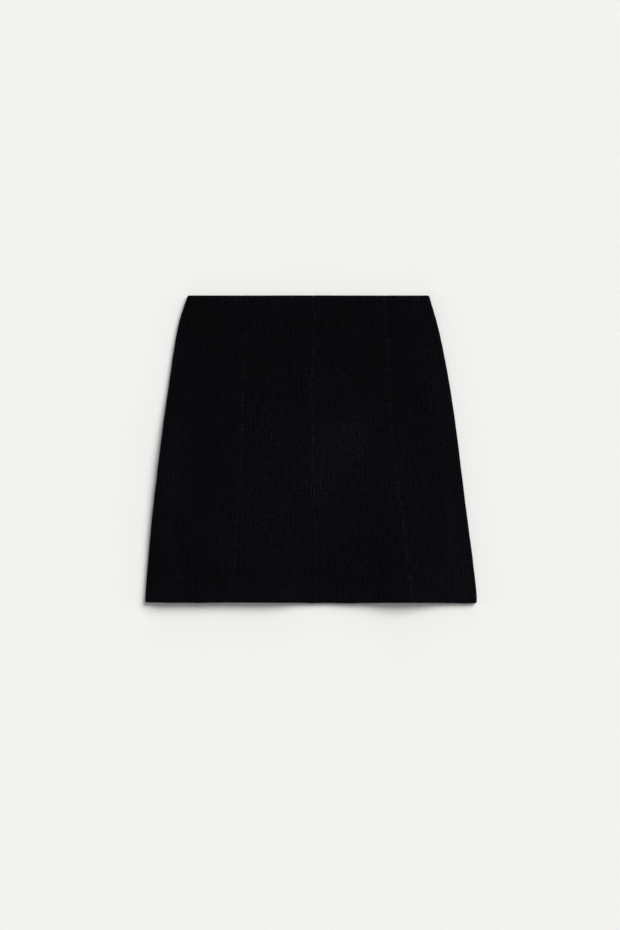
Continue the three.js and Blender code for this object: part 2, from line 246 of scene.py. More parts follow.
@dataclass(frozen=True)
class CorduroyPile:
    """The outer face: black ribs of cut pile, faintly violet in random zones, with painted light and shade
    over them.

    A stretch says how many cells of noise there are to a rib's pitch, across the ribs and along them.
    Stops pair a strength of the noise with the level that it gives, and a bump is its strength with its
    height in metres.
    """

    neutral: Colour = (0.00334, 0.00358, 0.00424)
    violet: Colour = (0.00394, 0.00348, 0.00586)
    # Colours of the painted highlight in the lit patches and along the seams and turned edges.
    nap_and_painted_light: Colour = (0.0082, 0.0077, 0.0117)
    pressed_highlight: Colour = (0.0120, 0.0115, 0.0142)
    groove_shade: float = 0.68
    lit_patch_groove_shade: float = 0.15
    groove_narrowness: float = 4.0
    zones_per_metre: tuple[float, float] = (13.0, 130.0)
    violet_stops: Stops = ((0.46, 0.0), (0.53, 1.0))
    tuft_stretch: Triple = (1.8, 1.5, 1.0)
    tuft_detail: float = 5.0
    tuft_roughness: float = 0.66
    tuft_bump: tuple[float, float] = (0.9, 0.0007)
    speckle_stops: Stops = ((0.35, 0.02), (0.50, 0.46), (0.62, 1.0))
    streak_stretch: Triple = (1.15, 0.24, 1.0)
    streak_stops: Stops = ((0.36, 0.66), (0.50, 0.98), (0.64, 1.0))
    fibre_stretch: Triple = (14.0, 6.0, 1.0)
    fibre_bump: tuple[float, float] = (0.5, 0.0002)
    roughness: float = 0.92
    specular: float = 0.02
    sheen: float = 0.03
    sheen_roughness: float = 0.45
    sheen_tint: Colour = (0.86, 0.82, 1.0)

    def material(self) -> bpy.types.Material:
        """Makes the material. Its map's first coordinate is a whole number on each rib's crest.

        Returns:
            The finished material.
        """
        sheet = NodeSheet("corduroy_pile")
        ribs = sheet.add("ShaderNodeUVMap", uv_map="ribs").outputs[0]
        place = sheet.add("ShaderNodeTexCoord").outputs["Object"]
        count = sheet.add("ShaderNodeSeparateXYZ", {0: ribs}).outputs["X"]
        # Painted shade in the grooves between the ribs: 0 on each crest, rising to 1 in each groove.
        phase = sheet.maths("FRACT", sheet.maths("ADD", count, 0.5))
        aside = sheet.maths("ABSOLUTE", sheet.maths("SUBTRACT", phase, 0.5))
        from_crest = sheet.maths("MULTIPLY", aside, 2.0)
        groove_shade_mask = sheet.maths("POWER", from_crest, self.groove_narrowness)

        large, small = self.zones_per_metre
        zones = sheet.maths("ADD", sheet.noise(place, large, 3.0), sheet.noise(place, small, 2.0))
        violet = sheet.ramp(sheet.maths("MULTIPLY", zones, 0.5), self.violet_stops)
        cloth = sheet.mix(violet, self.neutral, self.violet)
        # Patches where the pile stands up or lies down, with painted highlight on lit fold flanks and
        # painted shade in hollows.
        nap_and_painted_light = sheet.add("ShaderNodeAttribute", attribute_name="nap_and_painted_light").outputs["Fac"]
        cloth = sheet.mix(nap_and_painted_light, cloth, self.nap_and_painted_light)
        # Painted highlight along the seams and turned edges, where the flattened pile catches the light.
        pressed_highlight = sheet.add("ShaderNodeAttribute", attribute_name="pressed_highlight").outputs["Fac"]
        cloth = sheet.mix(pressed_highlight, cloth, self.pressed_highlight)

        stretched = sheet.stretch(ribs, self.tuft_stretch)
        tufts = sheet.noise(stretched, 1.0, self.tuft_detail, self.tuft_roughness)
        cloth = sheet.mix(1.0, cloth, sheet.ramp(tufts, self.speckle_stops), "MULTIPLY")
        streaks = sheet.noise(sheet.stretch(ribs, self.streak_stretch), 1.0)
        cloth = sheet.mix(1.0, cloth, sheet.ramp(streaks, self.streak_stops), "MULTIPLY")
        # The grooves are darkened as painted shade, more deeply in the lit patches.
        depth = sheet.mix(nap_and_painted_light, (self.groove_shade,) * 3, (self.lit_patch_groove_shade,) * 3)
        cloth = sheet.mix(1.0, cloth, sheet.mix(groove_shade_mask, (1.0, 1.0, 1.0), depth), "MULTIPLY")

        fibres = sheet.noise(sheet.stretch(ribs, self.fibre_stretch), 1.0, 3.0)
        shader = {
            "Base Color": cloth,
            "Roughness": self.roughness,
            "Specular IOR Level": self.specular,
            "Sheen Weight": self.sheen,
            "Sheen Roughness": self.sheen_roughness,
            "Sheen Tint": (*self.sheen_tint, 1.0),
        }
        return sheet.finish(shader, [(tufts, *self.tuft_bump), (fibres, *self.fibre_bump)])


@dataclass(frozen=True)
class CorduroyGround:
    """The inner face: the plain twill ground of the cloth, without pile."""

    colour: Colour = (0.0065, 0.0063, 0.0072)
    worn: Colour = (0.0085, 0.0082, 0.0095)
    twill_scale: float = 0.952
    twill_waver: float = 0.6
    twill_bump: tuple[float, float] = (0.5, 0.0002)
    yarn_stretch: Triple = (9.0, 14.0, 1.0)
    yarn_bump: tuple[float, float] = (0.4, 0.0001)
    roughness: float = 0.85
    specular: float = 0.05

    def material(self) -> bpy.types.Material:
        """Makes the material.

        Returns:
            The finished material.
        """
        sheet = NodeSheet("corduroy_ground")
        ribs = sheet.add("ShaderNodeUVMap", uv_map="ribs").outputs[0]
        bands = {
            "Vector": ribs, "Scale": self.twill_scale, "Distortion": self.twill_waver, "Detail": 1.0,
        }
        twill = sheet.add("ShaderNodeTexWave", bands, bands_direction="DIAGONAL").outputs["Fac"]
        yarns = sheet.noise(sheet.stretch(ribs, self.yarn_stretch), 1.0)
        cloth = sheet.mix(yarns, self.colour, self.worn)
        shader = {
            "Base Color": cloth, "Roughness": self.roughness, "Specular IOR Level": self.specular,
        }
        return sheet.finish(shader, [(twill, *self.twill_bump), (yarns, *self.yarn_bump)])


@dataclass(frozen=True)
class TapeWeave:
    """Black woven tape of the zip, and with a smoother, finer weave its nylon coil."""

    name: str = "zip_tape_weave"
    colour: Colour = (0.0085, 0.0085, 0.0092)
    roughness: float = 0.75
    weave_scale: float = 142.9
    weave_waver: float = 0.4
    weave_bump: tuple[float, float] = (0.4, 0.00015)
    fibres_per_metre: float = 700.0
    lit_share: float = 1.6
    specular: float = 0.25

    def material(self) -> bpy.types.Material:
        """Makes the material.

        Returns:
            The finished material.
        """
        sheet = NodeSheet(self.name)
        place = sheet.add("ShaderNodeTexCoord").outputs["Object"]
        bands = {
            "Vector": place, "Scale": self.weave_scale, "Distortion": self.weave_waver, "Detail": 1.0,
        }
        warp = sheet.add("ShaderNodeTexWave", bands, bands_direction="X").outputs["Fac"]
        weft = sheet.add("ShaderNodeTexWave", bands, bands_direction="Y").outputs["Fac"]
        weave = sheet.maths("MULTIPLY", warp, weft)
        light = tuple(self.lit_share * part for part in self.colour)
        cloth = sheet.mix(sheet.noise(place, self.fibres_per_metre), self.colour, light)
        shader = {
            "Base Color": cloth, "Roughness": self.roughness, "Specular IOR Level": self.specular,
        }
        return sheet.finish(shader, [(weave, *self.weave_bump)])


@dataclass(frozen=True)
class BlackEnamel:
    """Satin black enamel on the zip's metal, worn a little on its rounded edges."""

    colour: Colour = (0.010, 0.010, 0.012)
    worn: Colour = (0.045, 0.045, 0.048)
    edge_stops: Stops = ((0.52, 0.0), (0.60, 1.0))
    scuffs_per_metre: float = 1800.0
    scuff_detail: float = 4.0
    scuff_bump: tuple[float, float] = (0.15, 0.00003)
    roughness: tuple[float, float] = (0.30, 0.45)
    specular: float = 0.5
    coat: float = 0.2

    def material(self) -> bpy.types.Material:
        """Makes the material.

        Returns:
            The finished material.
        """
        sheet = NodeSheet("black_enamel")
        place = sheet.add("ShaderNodeTexCoord").outputs["Object"]
        edges = sheet.add("ShaderNodeNewGeometry").outputs["Pointiness"]
        scuffs = sheet.noise(place, self.scuffs_per_metre, self.scuff_detail)
        wear = sheet.maths("MULTIPLY", sheet.ramp(edges, self.edge_stops), scuffs)
        paint = sheet.mix(wear, self.colour, self.worn)
        low, high = self.roughness
        gloss = sheet.add("ShaderNodeMapRange", {"Value": scuffs, "To Min": low, "To Max": high}).outputs[0]
        shader = {
            "Base Color": paint,
            "Roughness": gloss,
            "Specular IOR Level": self.specular,
            "Coat Weight": self.coat,
        }
        return sheet.finish(shader, [(scuffs, *self.scuff_bump)])


@dataclass(frozen=True)
class PaleTable:
    """The plain pale surface that the skirt lies on."""

    colour: Colour = (0.786, 0.779, 0.764)
    darker_share: float = 0.996
    clouds_per_metre: float = 3.0
    roughness: float = 0.9

    def material(self) -> bpy.types.Material:
        """Makes the material.

        Returns:
            The finished material.
        """
        sheet = NodeSheet("pale_table")
        place = sheet.add("ShaderNodeTexCoord").outputs["Object"]
        darker = tuple(self.darker_share * part for part in self.colour)
        tone = sheet.mix(sheet.noise(place, self.clouds_per_metre), self.colour, darker)
        return sheet.finish({"Base Color": tone, "Roughness": self.roughness, "Specular IOR Level": 0.0})


# ---- The cut and the way the skirt lies ----


class Border(Enum):
    """An edge or seam that bounds a panel."""

    LEFT_EDGE = "left_edge"
    LEFT_SEAM = "left_seam"
    CENTRE_SEAM = "centre_seam"
    RIGHT_SEAM = "right_seam"
    RIGHT_EDGE = "right_edge"
    BACK_SEAM = "back_seam"

    @property
    def is_side(self) -> bool:
        """Whether the cloth rolls round to the side seam here."""
        return self in (Border.LEFT_EDGE, Border.RIGHT_EDGE)

    @property
    def lap_sides(self) -> tuple[float, float]:
        """Which way the cloths inside the seam lie past its line, at the waist and at the hem."""
        at_hem = {Border.LEFT_SEAM: -1.0, Border.CENTRE_SEAM: -1.0, Border.RIGHT_SEAM: 1.0}
        return (-1.0, at_hem[self]) if self in at_hem else (0.0, 0.0)


@dataclass(frozen=True)
class Section:
    """Where the edges and seams lie at one distance below the waist."""

    below: float
    left_edge: float
    left_seam: float
    centre_seam: float
    right_seam: float
    right_edge: float


@dataclass(frozen=True)
class Cut:
    """The outline of the skirt and of its panels."""

    length: float = 420.0
    back_seam_at_waist: float = -10.0
    back_seam_at_hem: float = -8.5
    sections: tuple[Section, ...] = (
        Section(0, -168.5, -96, 2, 101, 161),
        Section(30, -178.5, -90, 6, 103, 170),
        Section(60, -185, -88.5, 5, 105, 177.5),
        Section(120, -194, -92, 2.5, 107.5, 189),
        Section(180, -202.5, -94, 3, 111.5, 198),
        Section(240, -210, -96.5, 4, 117.5, 205.5),
        Section(300, -217, -100, 7, 125, 213),
        Section(360, -222.5, -104, 8, 132.5, 221),
        Section(405, -226, -110.5, 9, 138, 226),
        Section(420, -226.5, -116, 8.5, 139.5, 226.5),
    )

    def across(self, border: Border, below: float) -> float:
        """Where a border lies, on a smooth curve through the sections.

        Args:
            border: the edge or seam.
            below: distance below the waist.

        Returns:
            Its x.
        """
        if border is Border.BACK_SEAM:
            share = below / self.length
            return self.back_seam_at_waist + (self.back_seam_at_hem - self.back_seam_at_waist) * share
        start = 0
        while start < len(self.sections) - 2 and below > self.sections[start + 1].below:
            start += 1
        low, high = self.sections[start], self.sections[start + 1]
        span = high.below - low.below
        t = (below - low.below) / span
        slopes = self.slope(border, start) * (1 - t) - self.slope(border, start + 1) * t
        return (
            getattr(low, border.value) * (1 + 2 * t) * (1 - t) ** 2
            + getattr(high, border.value) * (3 - 2 * t) * t**2
            + span * t * (1 - t) * slopes
        )

    def from_ends(self, below: float) -> float:
        """Distance to the nearer of the waist and the hem."""
        return min(below, self.length - below)

    def from_sides(self, x: Array, below: float) -> Array:
        """Distance from each x to the nearer side edge."""
        left, right = (self.across(edge, below) for edge in (Border.LEFT_EDGE, Border.RIGHT_EDGE))
        return np.minimum(x - left, right - x)

    def slope(self, border: Border, index: int) -> float:
        """How fast a border moves to the right on the way down, at one of the sections.

        Args:
            border: the edge or seam.
            index: the section's number.

        Returns:
            Millimetres across for each millimetre down.
        """
        before = self.sections[max(index - 1, 0)]
        after = self.sections[min(index + 1, len(self.sections) - 1)]
        step = getattr(after, border.value) - getattr(before, border.value)
        return step / (after.below - before.below)


@dataclass(frozen=True)
class Fold:
    """A soft ridge or hollow, long in the direction of turn, in degrees from +X."""

    x: float
    below: float
    turn: float
    reach: float
    width: float
    rise: float

    def height(self, x: Array, below: float) -> Array:
        """How far it lifts the cloth.

        Args:
            x: places across the skirt.
            below: distance below the waist.

        Returns:
            The lift at each x.
        """
        turn = math.radians(self.turn)
        right, up = x - self.x, self.below - below
        along = right * math.cos(turn) + up * math.sin(turn)
        beside = up * math.cos(turn) - right * math.sin(turn)
        return self.rise * np.exp(-((along / self.reach) ** 2) - (beside / self.width) ** 2)


@dataclass(frozen=True)
class Ripple:
    """An uneven waver of the cloth, with how far it takes down and across to change by a radian."""

    rise: float
    down: float
    across: float
    seed: float

    def height(self, below: float, x: Array) -> Array:
        """How far it lifts or shifts the cloth at each x."""
        return self.rise * uneven(below / self.down, x / self.across, self.seed)


@dataclass(frozen=True)
class Swell:
    """A place where the hem reaches past its even line, or short of it, with half its width."""

    x: float
    half: float
    drop: float

    def reach(self, x: Array) -> Array:
        """How far it carries the hem down at each x."""
        return self.drop * np.exp(-(((x - self.x) / self.half) ** 2))


@dataclass(frozen=True)
class Corduroy:
    """The cloth: its thickness, its ribs, and how it rounds over at seams and turned edges.

    Each rib is a little higher or lower than the next (rib_spread), and uneven along its length
    (rib_waver). The number of a rib shifts its pattern by rib_shift, and rib_turn, in radians, scatters
    the heights. A face sinks by seam_lip at a seam line itself and by seam_sink over the cloth beside it.
    """

    thick: float = 1.5
    lap: float = 0.7
    notch: float = 0.25
    notch_long: float = 2.2
    pitch: float = 3.55
    rib_rise: float = 0.72
    rib_foot: float = -0.10
    rib_fullness: float = 2.6
    rib_spread: float = 0.06
    rib_waver: float = 0.13
    rib_waver_long: float = 4.6
    rib_shift: float = 2.1
    rib_seed: float = 0.4
    rib_turn: float = 12.9898
    steps_per_rib: int = 8
    seam_lip: float = 0.30
    seam_lip_long: float = 0.5
    seam_sink: float = 0.15
    seam_sink_long: float = 2.2
    turn_in: float = 10.0
    turn_up: float = 12.0
    allowance: float = 8.0
    step: float = 1.0

    @property
    def column(self) -> float:
        """Distance between neighbouring lines of points along a rib."""
        return self.pitch / self.steps_per_rib

    def sink(self, inward: Array) -> Array:
        """How deep the face lies at a distance from the seam line."""
        lip = self.seam_lip * np.exp(-inward / self.seam_lip_long)
        return lip + self.seam_sink * np.exp(-((inward / self.seam_sink_long) ** 2))

    def rib(self, offset: Array, below: float) -> Array:
        """Height of the ribs over the wall's face.

        Args:
            offset: distance across the ribs.
            below: distance along them.

        Returns:
            The height at each offset.
        """
        number = np.round(offset / self.pitch)
        from_crest = 2.0 * np.abs(offset / self.pitch - number)
        body = 1.0 - from_crest**self.rib_fullness
        waver = uneven(below / self.rib_waver_long, number * self.rib_shift, self.rib_seed)
        height = 1.0 + self.rib_waver * waver + self.rib_spread * np.sin(number * self.rib_turn)
        return self.rib_foot + self.rib_rise * body * height


class Lay:
    """How one side of the skirt lies: the height of its face, and which way that faces.

    "out" is 1 where the face looks up and -1 where it looks down, seam_z is the height of the side seam,
    and the patches are where the pile stands up or lies down, with painted highlight on folds that face the
    light and painted shade in hollows.
    """

    out: float
    seam_z: float
    row_step: float
    nap_and_painted_light: tuple[Fold, ...]

    def height(self, x: Array, below: float) -> Array:
        """Height of the face at each x."""
        raise NotImplementedError

    def hem_drop(self, x: Array, below: float) -> Array | float:
        """How far the cloth reaches past the even line of the hem."""
        return 0.0


@dataclass(frozen=True)
class FrontLay(Lay):
    """The front, which lies on the back and lifts off it in two waves at the hem."""

    cut: Cut
    out: float = 1.0
    seam_z: float = SIDE_ROLL + GAP / 2
    row_step: float = 3.0
    level: float = 6.4
    calm: float = 34.0
    folds: tuple[Fold, ...] = (
        Fold(-112, 420, 90, 170, 70, 6.0),
        Fold(124, 420, 86, 170, 50, 7.6),
        Fold(0, 170, 0, 130, 80, 0.5),
        Fold(57, 255, 56, 58, 36, 2.2),
        Fold(-174, 215, 83, 90, 17, 1.8),
        Fold(-145, 200, 85, 85, 15, -1.5),
        Fold(184, 300, 80, 80, 15, 1.2),
        Fold(-120, 62, 10, 60, 26, -0.9),
        Fold(-10, 18, 90, 34, 42, 2.2),
    )
    puffs: tuple[Fold, ...] = (
        Fold(-205, 218, 84, 74, 20, 4.6),
        Fold(-216, 318, 84, 52, 18, 2.2),
        Fold(-200, 422, 80, 56, 22, 5.4),
    )
    creases: tuple[Fold, ...] = (
        Fold(-160, 424, 90, 110, 24, 2.8),
        Fold(-52, 424, 90, 110, 34, 3.6),
        Fold(52, 424, 90, 90, 22, 0.9),
        Fold(130, 424, 90, 90, 32, 2.6),
        Fold(-190, 384, 36, 26, 5, 1.5),
        Fold(-48, 325, 90, 45, 12, 1.3),
        Fold(-37, 403, 90, 25, 18, 0.6),
        Fold(160, 385, -37, 35, 8, 1.2),
        Fold(187, 321, 84, 40, 8, 1.0),
        Fold(24, 236, 62, 30, 9, 0.9),
        Fold(-70, 205, 80, 60, 14, 0.7),
        Fold(70, 120, 12, 50, 16, 0.5),
        Fold(150, 95, 100, 45, 12, 0.6),
        Fold(-30, 110, 96, 50, 12, -0.5),
        Fold(90, 330, 70, 40, 14, -0.7),
    )
    ripples: tuple[Ripple, ...] = (Ripple(0.16, 17.0, 15.0, 2.0), Ripple(0.10, 7.0, 9.0, 5.0))
    hem_even: float = 0.5
    hem_from: float = 300.0
    swells: tuple[Swell, ...] = (
        Swell(-226, 36, -0.7),
        Swell(-95, 70, -0.6),
        Swell(3, 12, 0.55),
        Swell(50, 17, 0.65),
        Swell(130, 34, -0.5),
        Swell(215, 45, 0.4),
        Swell(212, 10, 0.5),
    )
    # Patches where the pile stands up or lies down, which also carry painted light: highlight on fold
    # flanks and edges that face the light, shade in hollows where the rise is negative.
    nap_and_painted_light: tuple[Fold, ...] = (
        Fold(0, 210, 0, 900, 900, 0.15),
        Fold(-147, 170, 87, 190, 20, -0.20),
        Fold(-105, 45, 10, 60, 32, -0.12),
        Fold(30, 265, 0, 170, 120, 0.22),
        Fold(40, 200, 20, 36, 28, 0.58),
        Fold(62, 192, 80, 42, 20, 0.42),
        Fold(46, 290, 90, 60, 18, 0.14),
        Fold(12, 246, 90, 50, 17, 0.56),
        Fold(177, 130, 99, 84, 19, 0.50),
        Fold(208, 375, 99, 95, 26, 0.45),
        Fold(184, 396, 0, 46, 34, 0.26),
        Fold(143, 8, 0, 17, 13, 0.55),
        Fold(-50, 34, 0, 22, 12, 0.24),
        Fold(-190, 255, 83, 60, 13, 0.45),
        Fold(-192, 318, 84, 30, 10, 0.16),
        Fold(116, 250, 88, 62, 10, 0.28),
        Fold(-60, 325, 88, 80, 50, 0.16),
        Fold(134, 345, 84, 80, 13, 0.20),
        Fold(-26, 405, 0, 32, 14, 0.24),
        Fold(6, 120, 90, 45, 12, 0.16),
        Fold(-30, 160, 90, 40, 28, 0.08),
        Fold(-185, 388, 36, 24, 7, 0.28),
        Fold(-170, 283, 80, 20, 10, 0.22),
        Fold(-138, 322, 0, 28, 22, 0.16),
        Fold(-17, 284, 90, 14, 9, -0.15),
        Fold(-30, 8, 0, 90, 12, 0.12),
        Fold(0, 424, 0, 420, 20, 0.28),
    )

    def height(self, x: Array, below: float) -> Array:
        """Height of the face at the foot of its ribs, with folds that die out at the side edges.

        Args:
            x: places across the skirt.
            below: distance below the waist.

        Returns:
            The height at each x.
        """
        rolled = 2 * SIDE_ROLL
        calm = smooth_step(self.cut.from_sides(x, below), SIDE_ROLL, self.calm)
        rise = sum(fold.height(x, below) for fold in self.folds + self.creases)
        rise = rise + sum(ripple.height(below, x) for ripple in self.ripples)
        puff = sum(fold.height(x, below) for fold in self.puffs)
        return rolled + (self.level - rolled + rise) * calm + puff

    def hem_drop(self, x: Array, below: float) -> Array:
        """How far the front reaches past the hem's even line, and how far its waves draw it back.

        Args:
            x: places across the skirt.
            below: distance below the waist.

        Returns:
            The distance at each x, downwards.
        """
        drop = self.hem_even + sum(swell.reach(x) for swell in self.swells)
        return drop * smooth_step(below, self.hem_from, self.cut.length)


@dataclass(frozen=True)
class BackLay(Lay):
    """The back, flat on the table but for shallow creases and the room that the zip's tab lies in.

    The room is half_width to each side of the seam where it is lifted in full, and outer_half at its foot.
    It runs from start to end below the waist, with a ramp at both. Creases grow over calm_sides from the
    side edges and over calm_ends from the waist and the hem.
    """

    cut: Cut
    out: float = -1.0
    seam_z: float = ROLL_RADIUS
    row_step: float = 5.0
    lift: float = 2.0
    half_width: float = 2.5
    outer_half: float = 12.5
    start: float = 10.0
    end: float = 39.0
    ramp: float = 7.0
    calm_sides: tuple[float, float] = (6.0, 40.0)
    calm_ends: tuple[float, float] = (14.0, 40.0)
    creases: tuple[Fold, ...] = (
        Fold(-150, 230, 82, 80, 12, 0.5),
        Fold(140, 260, 97, 85, 14, 0.5),
        Fold(70, 350, 60, 45, 9, 0.45),
        Fold(-80, 380, 118, 40, 8, 0.45),
        Fold(-60, 130, 75, 45, 10, 0.35),
    )
    # Patches where the pile stands up or lies down, with painted highlight and shade as on the front.
    nap_and_painted_light: tuple[Fold, ...] = (
        Fold(0, 210, 0, 900, 900, 0.15),
        Fold(-60, 225, 150, 60, 40, 0.30),
        Fold(95, 250, 84, 90, 50, 0.20),
        Fold(195, 300, 99, 110, 18, 0.30),
        Fold(-196, 240, 83, 100, 15, 0.25),
        Fold(-30, 90, 10, 90, 26, -0.12),
        Fold(0, 424, 0, 420, 20, 0.22),
    )

    def height(self, x: Array, below: float) -> Array:
        """Height of the underside.

        Args:
            x: places across the skirt.
            below: distance below the waist.

        Returns:
            The height at each x.
        """
        from_seam = np.abs(x - self.cut.across(Border.BACK_SEAM, below))
        aside = straight_step(from_seam, self.outer_half, self.half_width)
        first = straight_step(below, self.start - self.ramp, self.start)
        last = straight_step(below, self.end + self.ramp, self.end)
        calm = smooth_step(self.cut.from_sides(x, below), *self.calm_sides)
        calm = calm * smooth_step(self.cut.from_ends(below), *self.calm_ends)
        creases = sum(crease.height(x, below) for crease in self.creases)
        return self.lift * aside * first * last + calm * creases


# ---- Panels ----


def apart(places: Sequence[float], others: Sequence[float], clear: float) -> list[float]:
    """The places that are further than a clearance from all the others."""
    return [place for place in places if min(abs(place - other) for other in others) > clear]


@dataclass
class Row:
    """A line of points across a panel, with the keys by which neighbouring rows are joined."""

    along: float
    ids: list[int]
    keys: list[float]
    shares: list[float]
    ribbed: bool


@dataclass
class Wall:
    """A closed cloth wall under construction."""

    places: list[Array] = field(default_factory=list)
    maps: list[Array] = field(default_factory=list)
    pressed_highlight: list[Array] = field(default_factory=list)
    nap_and_painted_light: list[Array] = field(default_factory=list)
    count: int = 0
    faces: list[tuple[int, ...]] = field(default_factory=list)
    finishes: list[int] = field(default_factory=list)

    def row(self, along: float, place: Array, ribs: Array, keys: Array, pressed_highlight: Array, nap_and_painted_light: Array,
            ribbed: bool) -> Row:
        """Adds a row of points.

        Args:
            along: distance below the waist.
            place: x, y and z of each point, in millimetres.
            ribs: the two coordinates of the cloth's map at each point.
            keys: a rising number for each point.
            pressed_highlight: the painted highlight at each point, where the flattened pile catches the
                light.
            nap_and_painted_light: how far the pile stands up or lies down at each point, with painted
                highlight and shade.
            ribbed: whether the row has a point at each line of the ribs.

        Returns:
            The row.
        """
        ids = list(range(self.count, self.count + len(place)))
        self.count += len(place)
        self.places.append(place)
        self.maps.append(ribs)
        self.pressed_highlight.append(pressed_highlight)
        self.nap_and_painted_light.append(nap_and_painted_light)
        reach = place[:, 0]
        shares = (reach - reach[0]) / (reach[-1] - reach[0])
        return Row(along, ids, list(keys), list(np.maximum.accumulate(shares)), ribbed)

    def stitch(self, ids_a: Sequence[int], keys_a: Sequence[float], ids_b: Sequence[int],
               keys_b: Sequence[float], flip: bool, finish: int) -> None:
        """Joins two lines of points whose keys rise, with a quad wherever both have the next key.

        Args:
            ids_a: the first line's points.
            keys_a: and their keys.
            ids_b: the second line's points.
            keys_b: and their keys.
            flip: whether the faces look the other way.
            finish: the number of the faces' material.
        """
        i = j = 0
        while i < len(ids_a) - 1 or j < len(ids_b) - 1:
            next_a = keys_a[i + 1] if i + 1 < len(ids_a) else math.inf
            next_b = keys_b[j + 1] if j + 1 < len(ids_b) else math.inf
            if next_a == next_b:
                face = (ids_a[i], ids_b[j], ids_b[j + 1], ids_a[i + 1])
                i, j = i + 1, j + 1
            elif next_a < next_b:
                face = (ids_a[i], ids_b[j], ids_a[i + 1])
                i += 1
            else:
                face = (ids_a[i], ids_b[j], ids_b[j + 1])
                j += 1
            self.faces.append(face[::-1] if flip else face)
            self.finishes.append(finish)

    def close(self, face_rows: list[Row], inner_rows: list[Row], flip: bool) -> None:
        """Joins the rows into a closed ring, and closes it at both borders.

        Args:
            face_rows: rows of the outer face, from the waist down.
            inner_rows: rows of the inner face, from the waist down.
            flip: whether the outer face looks down.
        """
        ring = face_rows + inner_rows[::-1]
        for here, there in zip(ring, ring[1:] + ring[:1]):
            alike = here.ribbed == there.ribbed
            keys = (here.keys, there.keys) if alike else (here.shares, there.shares)
            finish = 0 if here.ribbed or there.ribbed else 1
            self.stitch(here.ids, keys[0], there.ids, keys[1], flip, finish)
        for end in (0, -1):
            outer = ([row.ids[end] for row in face_rows], [row.along for row in face_rows])
            inner = ([row.ids[end] for row in inner_rows], [row.along for row in inner_rows])
            first, second = (outer, inner) if end == 0 else (inner, outer)
            self.stitch(*first, *second, flip, 0)

    def object(self, name: str, materials: Sequence[bpy.types.Material]) -> bpy.types.Object:
        """Makes the mesh object.

        Args:
            name: the object's name.
            materials: its finishes, in the order of the faces' numbers.

        Returns:
            The object, in metres.
        """
        mesh = bpy.data.meshes.new(name)
        mesh.from_pydata((np.concatenate(self.places) * MM).tolist(), [], self.faces)
        mesh.polygons.foreach_set("material_index", self.finishes)
        mesh.polygons.foreach_set("use_smooth", [True] * len(self.faces))
        corner = np.zeros(len(mesh.loops), dtype=np.int32)
        mesh.loops.foreach_get("vertex_index", corner)
        ribs = mesh.uv_layers.new(name="ribs")
        ribs.data.foreach_set("uv", np.concatenate(self.maps)[corner].ravel())
        for label, values in (("pressed_highlight", self.pressed_highlight), ("nap_and_painted_light", self.nap_and_painted_light)):
            attribute = mesh.attributes.new(label, "FLOAT", "POINT")
            attribute.data.foreach_set("value", np.clip(np.concatenate(values), 0.0, 1.0))
        for material in materials:
            mesh.materials.append(material)
        piece = bpy.data.objects.new(name, mesh)
        bpy.context.collection.objects.link(piece)
        return piece


@dataclass(frozen=True)
class Change:
    """A soft change of a value on the way down the skirt."""

    amount: float
    start: float
    end: float


@dataclass(frozen=True)
class SeamShine:
    """How strongly the highlight painted on a seam's flattened edges shows at the waist, and its changes
    further down.
    """

    at_waist: float
    changes: tuple[Change, ...] = ()

    def strength(self, below: float) -> float:
        """The strength at a distance below the waist."""
        steps = (change.amount * smooth_step(below, change.start, change.end) for change in self.changes)
        return self.at_waist + float(sum(steps))


# Strength of the painted highlight along each seam.
SEAM_SHINE = {
    Border.LEFT_SEAM: SeamShine(0.14, (Change(0.36, 20.0, 130.0),)),
    Border.CENTRE_SEAM: SeamShine(0.30, (Change(0.38, 10.0, 90.0), Change(-0.48, 350.0, 400.0))),
    Border.RIGHT_SEAM: SeamShine(0.50, (Change(0.34, 170.0, 300.0),)),
    Border.BACK_SEAM: SeamShine(0.45),
}


@dataclass(frozen=True)
class PressedHighlight:
    """Painted highlight where flattened pile catches the light: by a seam, a fine line within a broad one,
    and at turned edges.

    The line is broken: its evenness is its mean strength, and it wavers by waver over each wave.
    """

    fine: float = 1.3
    fine_half: float = 0.9
    broad: float = 0.6
    broad_half: float = 1.9
    evenness: float = 0.6
    waver: float = 0.9
    wave: float = 4.0
    shift: float = 0.4  # of the pattern, for each letter of the seam's name
    seed: float = 4.0
    edge: float = 0.2
    edge_deep: float = 1.0

    def line(self, away: Array) -> Array:
        """How strong the painted highlight is at a distance from a seam line."""
        fine = self.fine * np.exp(-((away / self.fine_half) ** 2))
        return fine + self.broad * np.exp(-((away / self.broad_half) ** 2))

    def seam(self, border: Border, below: float) -> float:
        """How much of the line there is at a place along a seam.

        Args:
            border: the seam, which gives the line its own pattern.
            below: distance below the waist.

        Returns:
            Its strength.
        """
        waver = uneven(below / self.wave, self.shift * len(border.value), self.seed)
        broken = float(np.clip(self.evenness + self.waver * waver, 0.0, 1.0))
        return broken * SEAM_SHINE[border].strength(below)


@dataclass(frozen=True)
class Imprint:
    """How turned-in cloth and sewing show on the face: a faint step, and puckers along the seams.

    The step begins a little before the edge of the cloth inside and ends past it. Its evenness is its mean
    share, and it changes over each wave.
    """

    rise: float = 0.20
    evenness: float = 0.6
    wave: float = 23.0
    seed: float = 3.0
    before: float = 0.6
    past_allowance: float = 1.2
    past_turning: float = 1.4
    pucker: float = 0.13
    pucker_long: float = 2.1
    pucker_wide: float = 4.5

    def share(self, distance: Array | float, width: float, past: float) -> Array | float:
        """1 over a strip of turned-in cloth of a width, fading to 0 past its edge."""
        return 1.0 - smooth_step(distance, width - self.before, width + past)


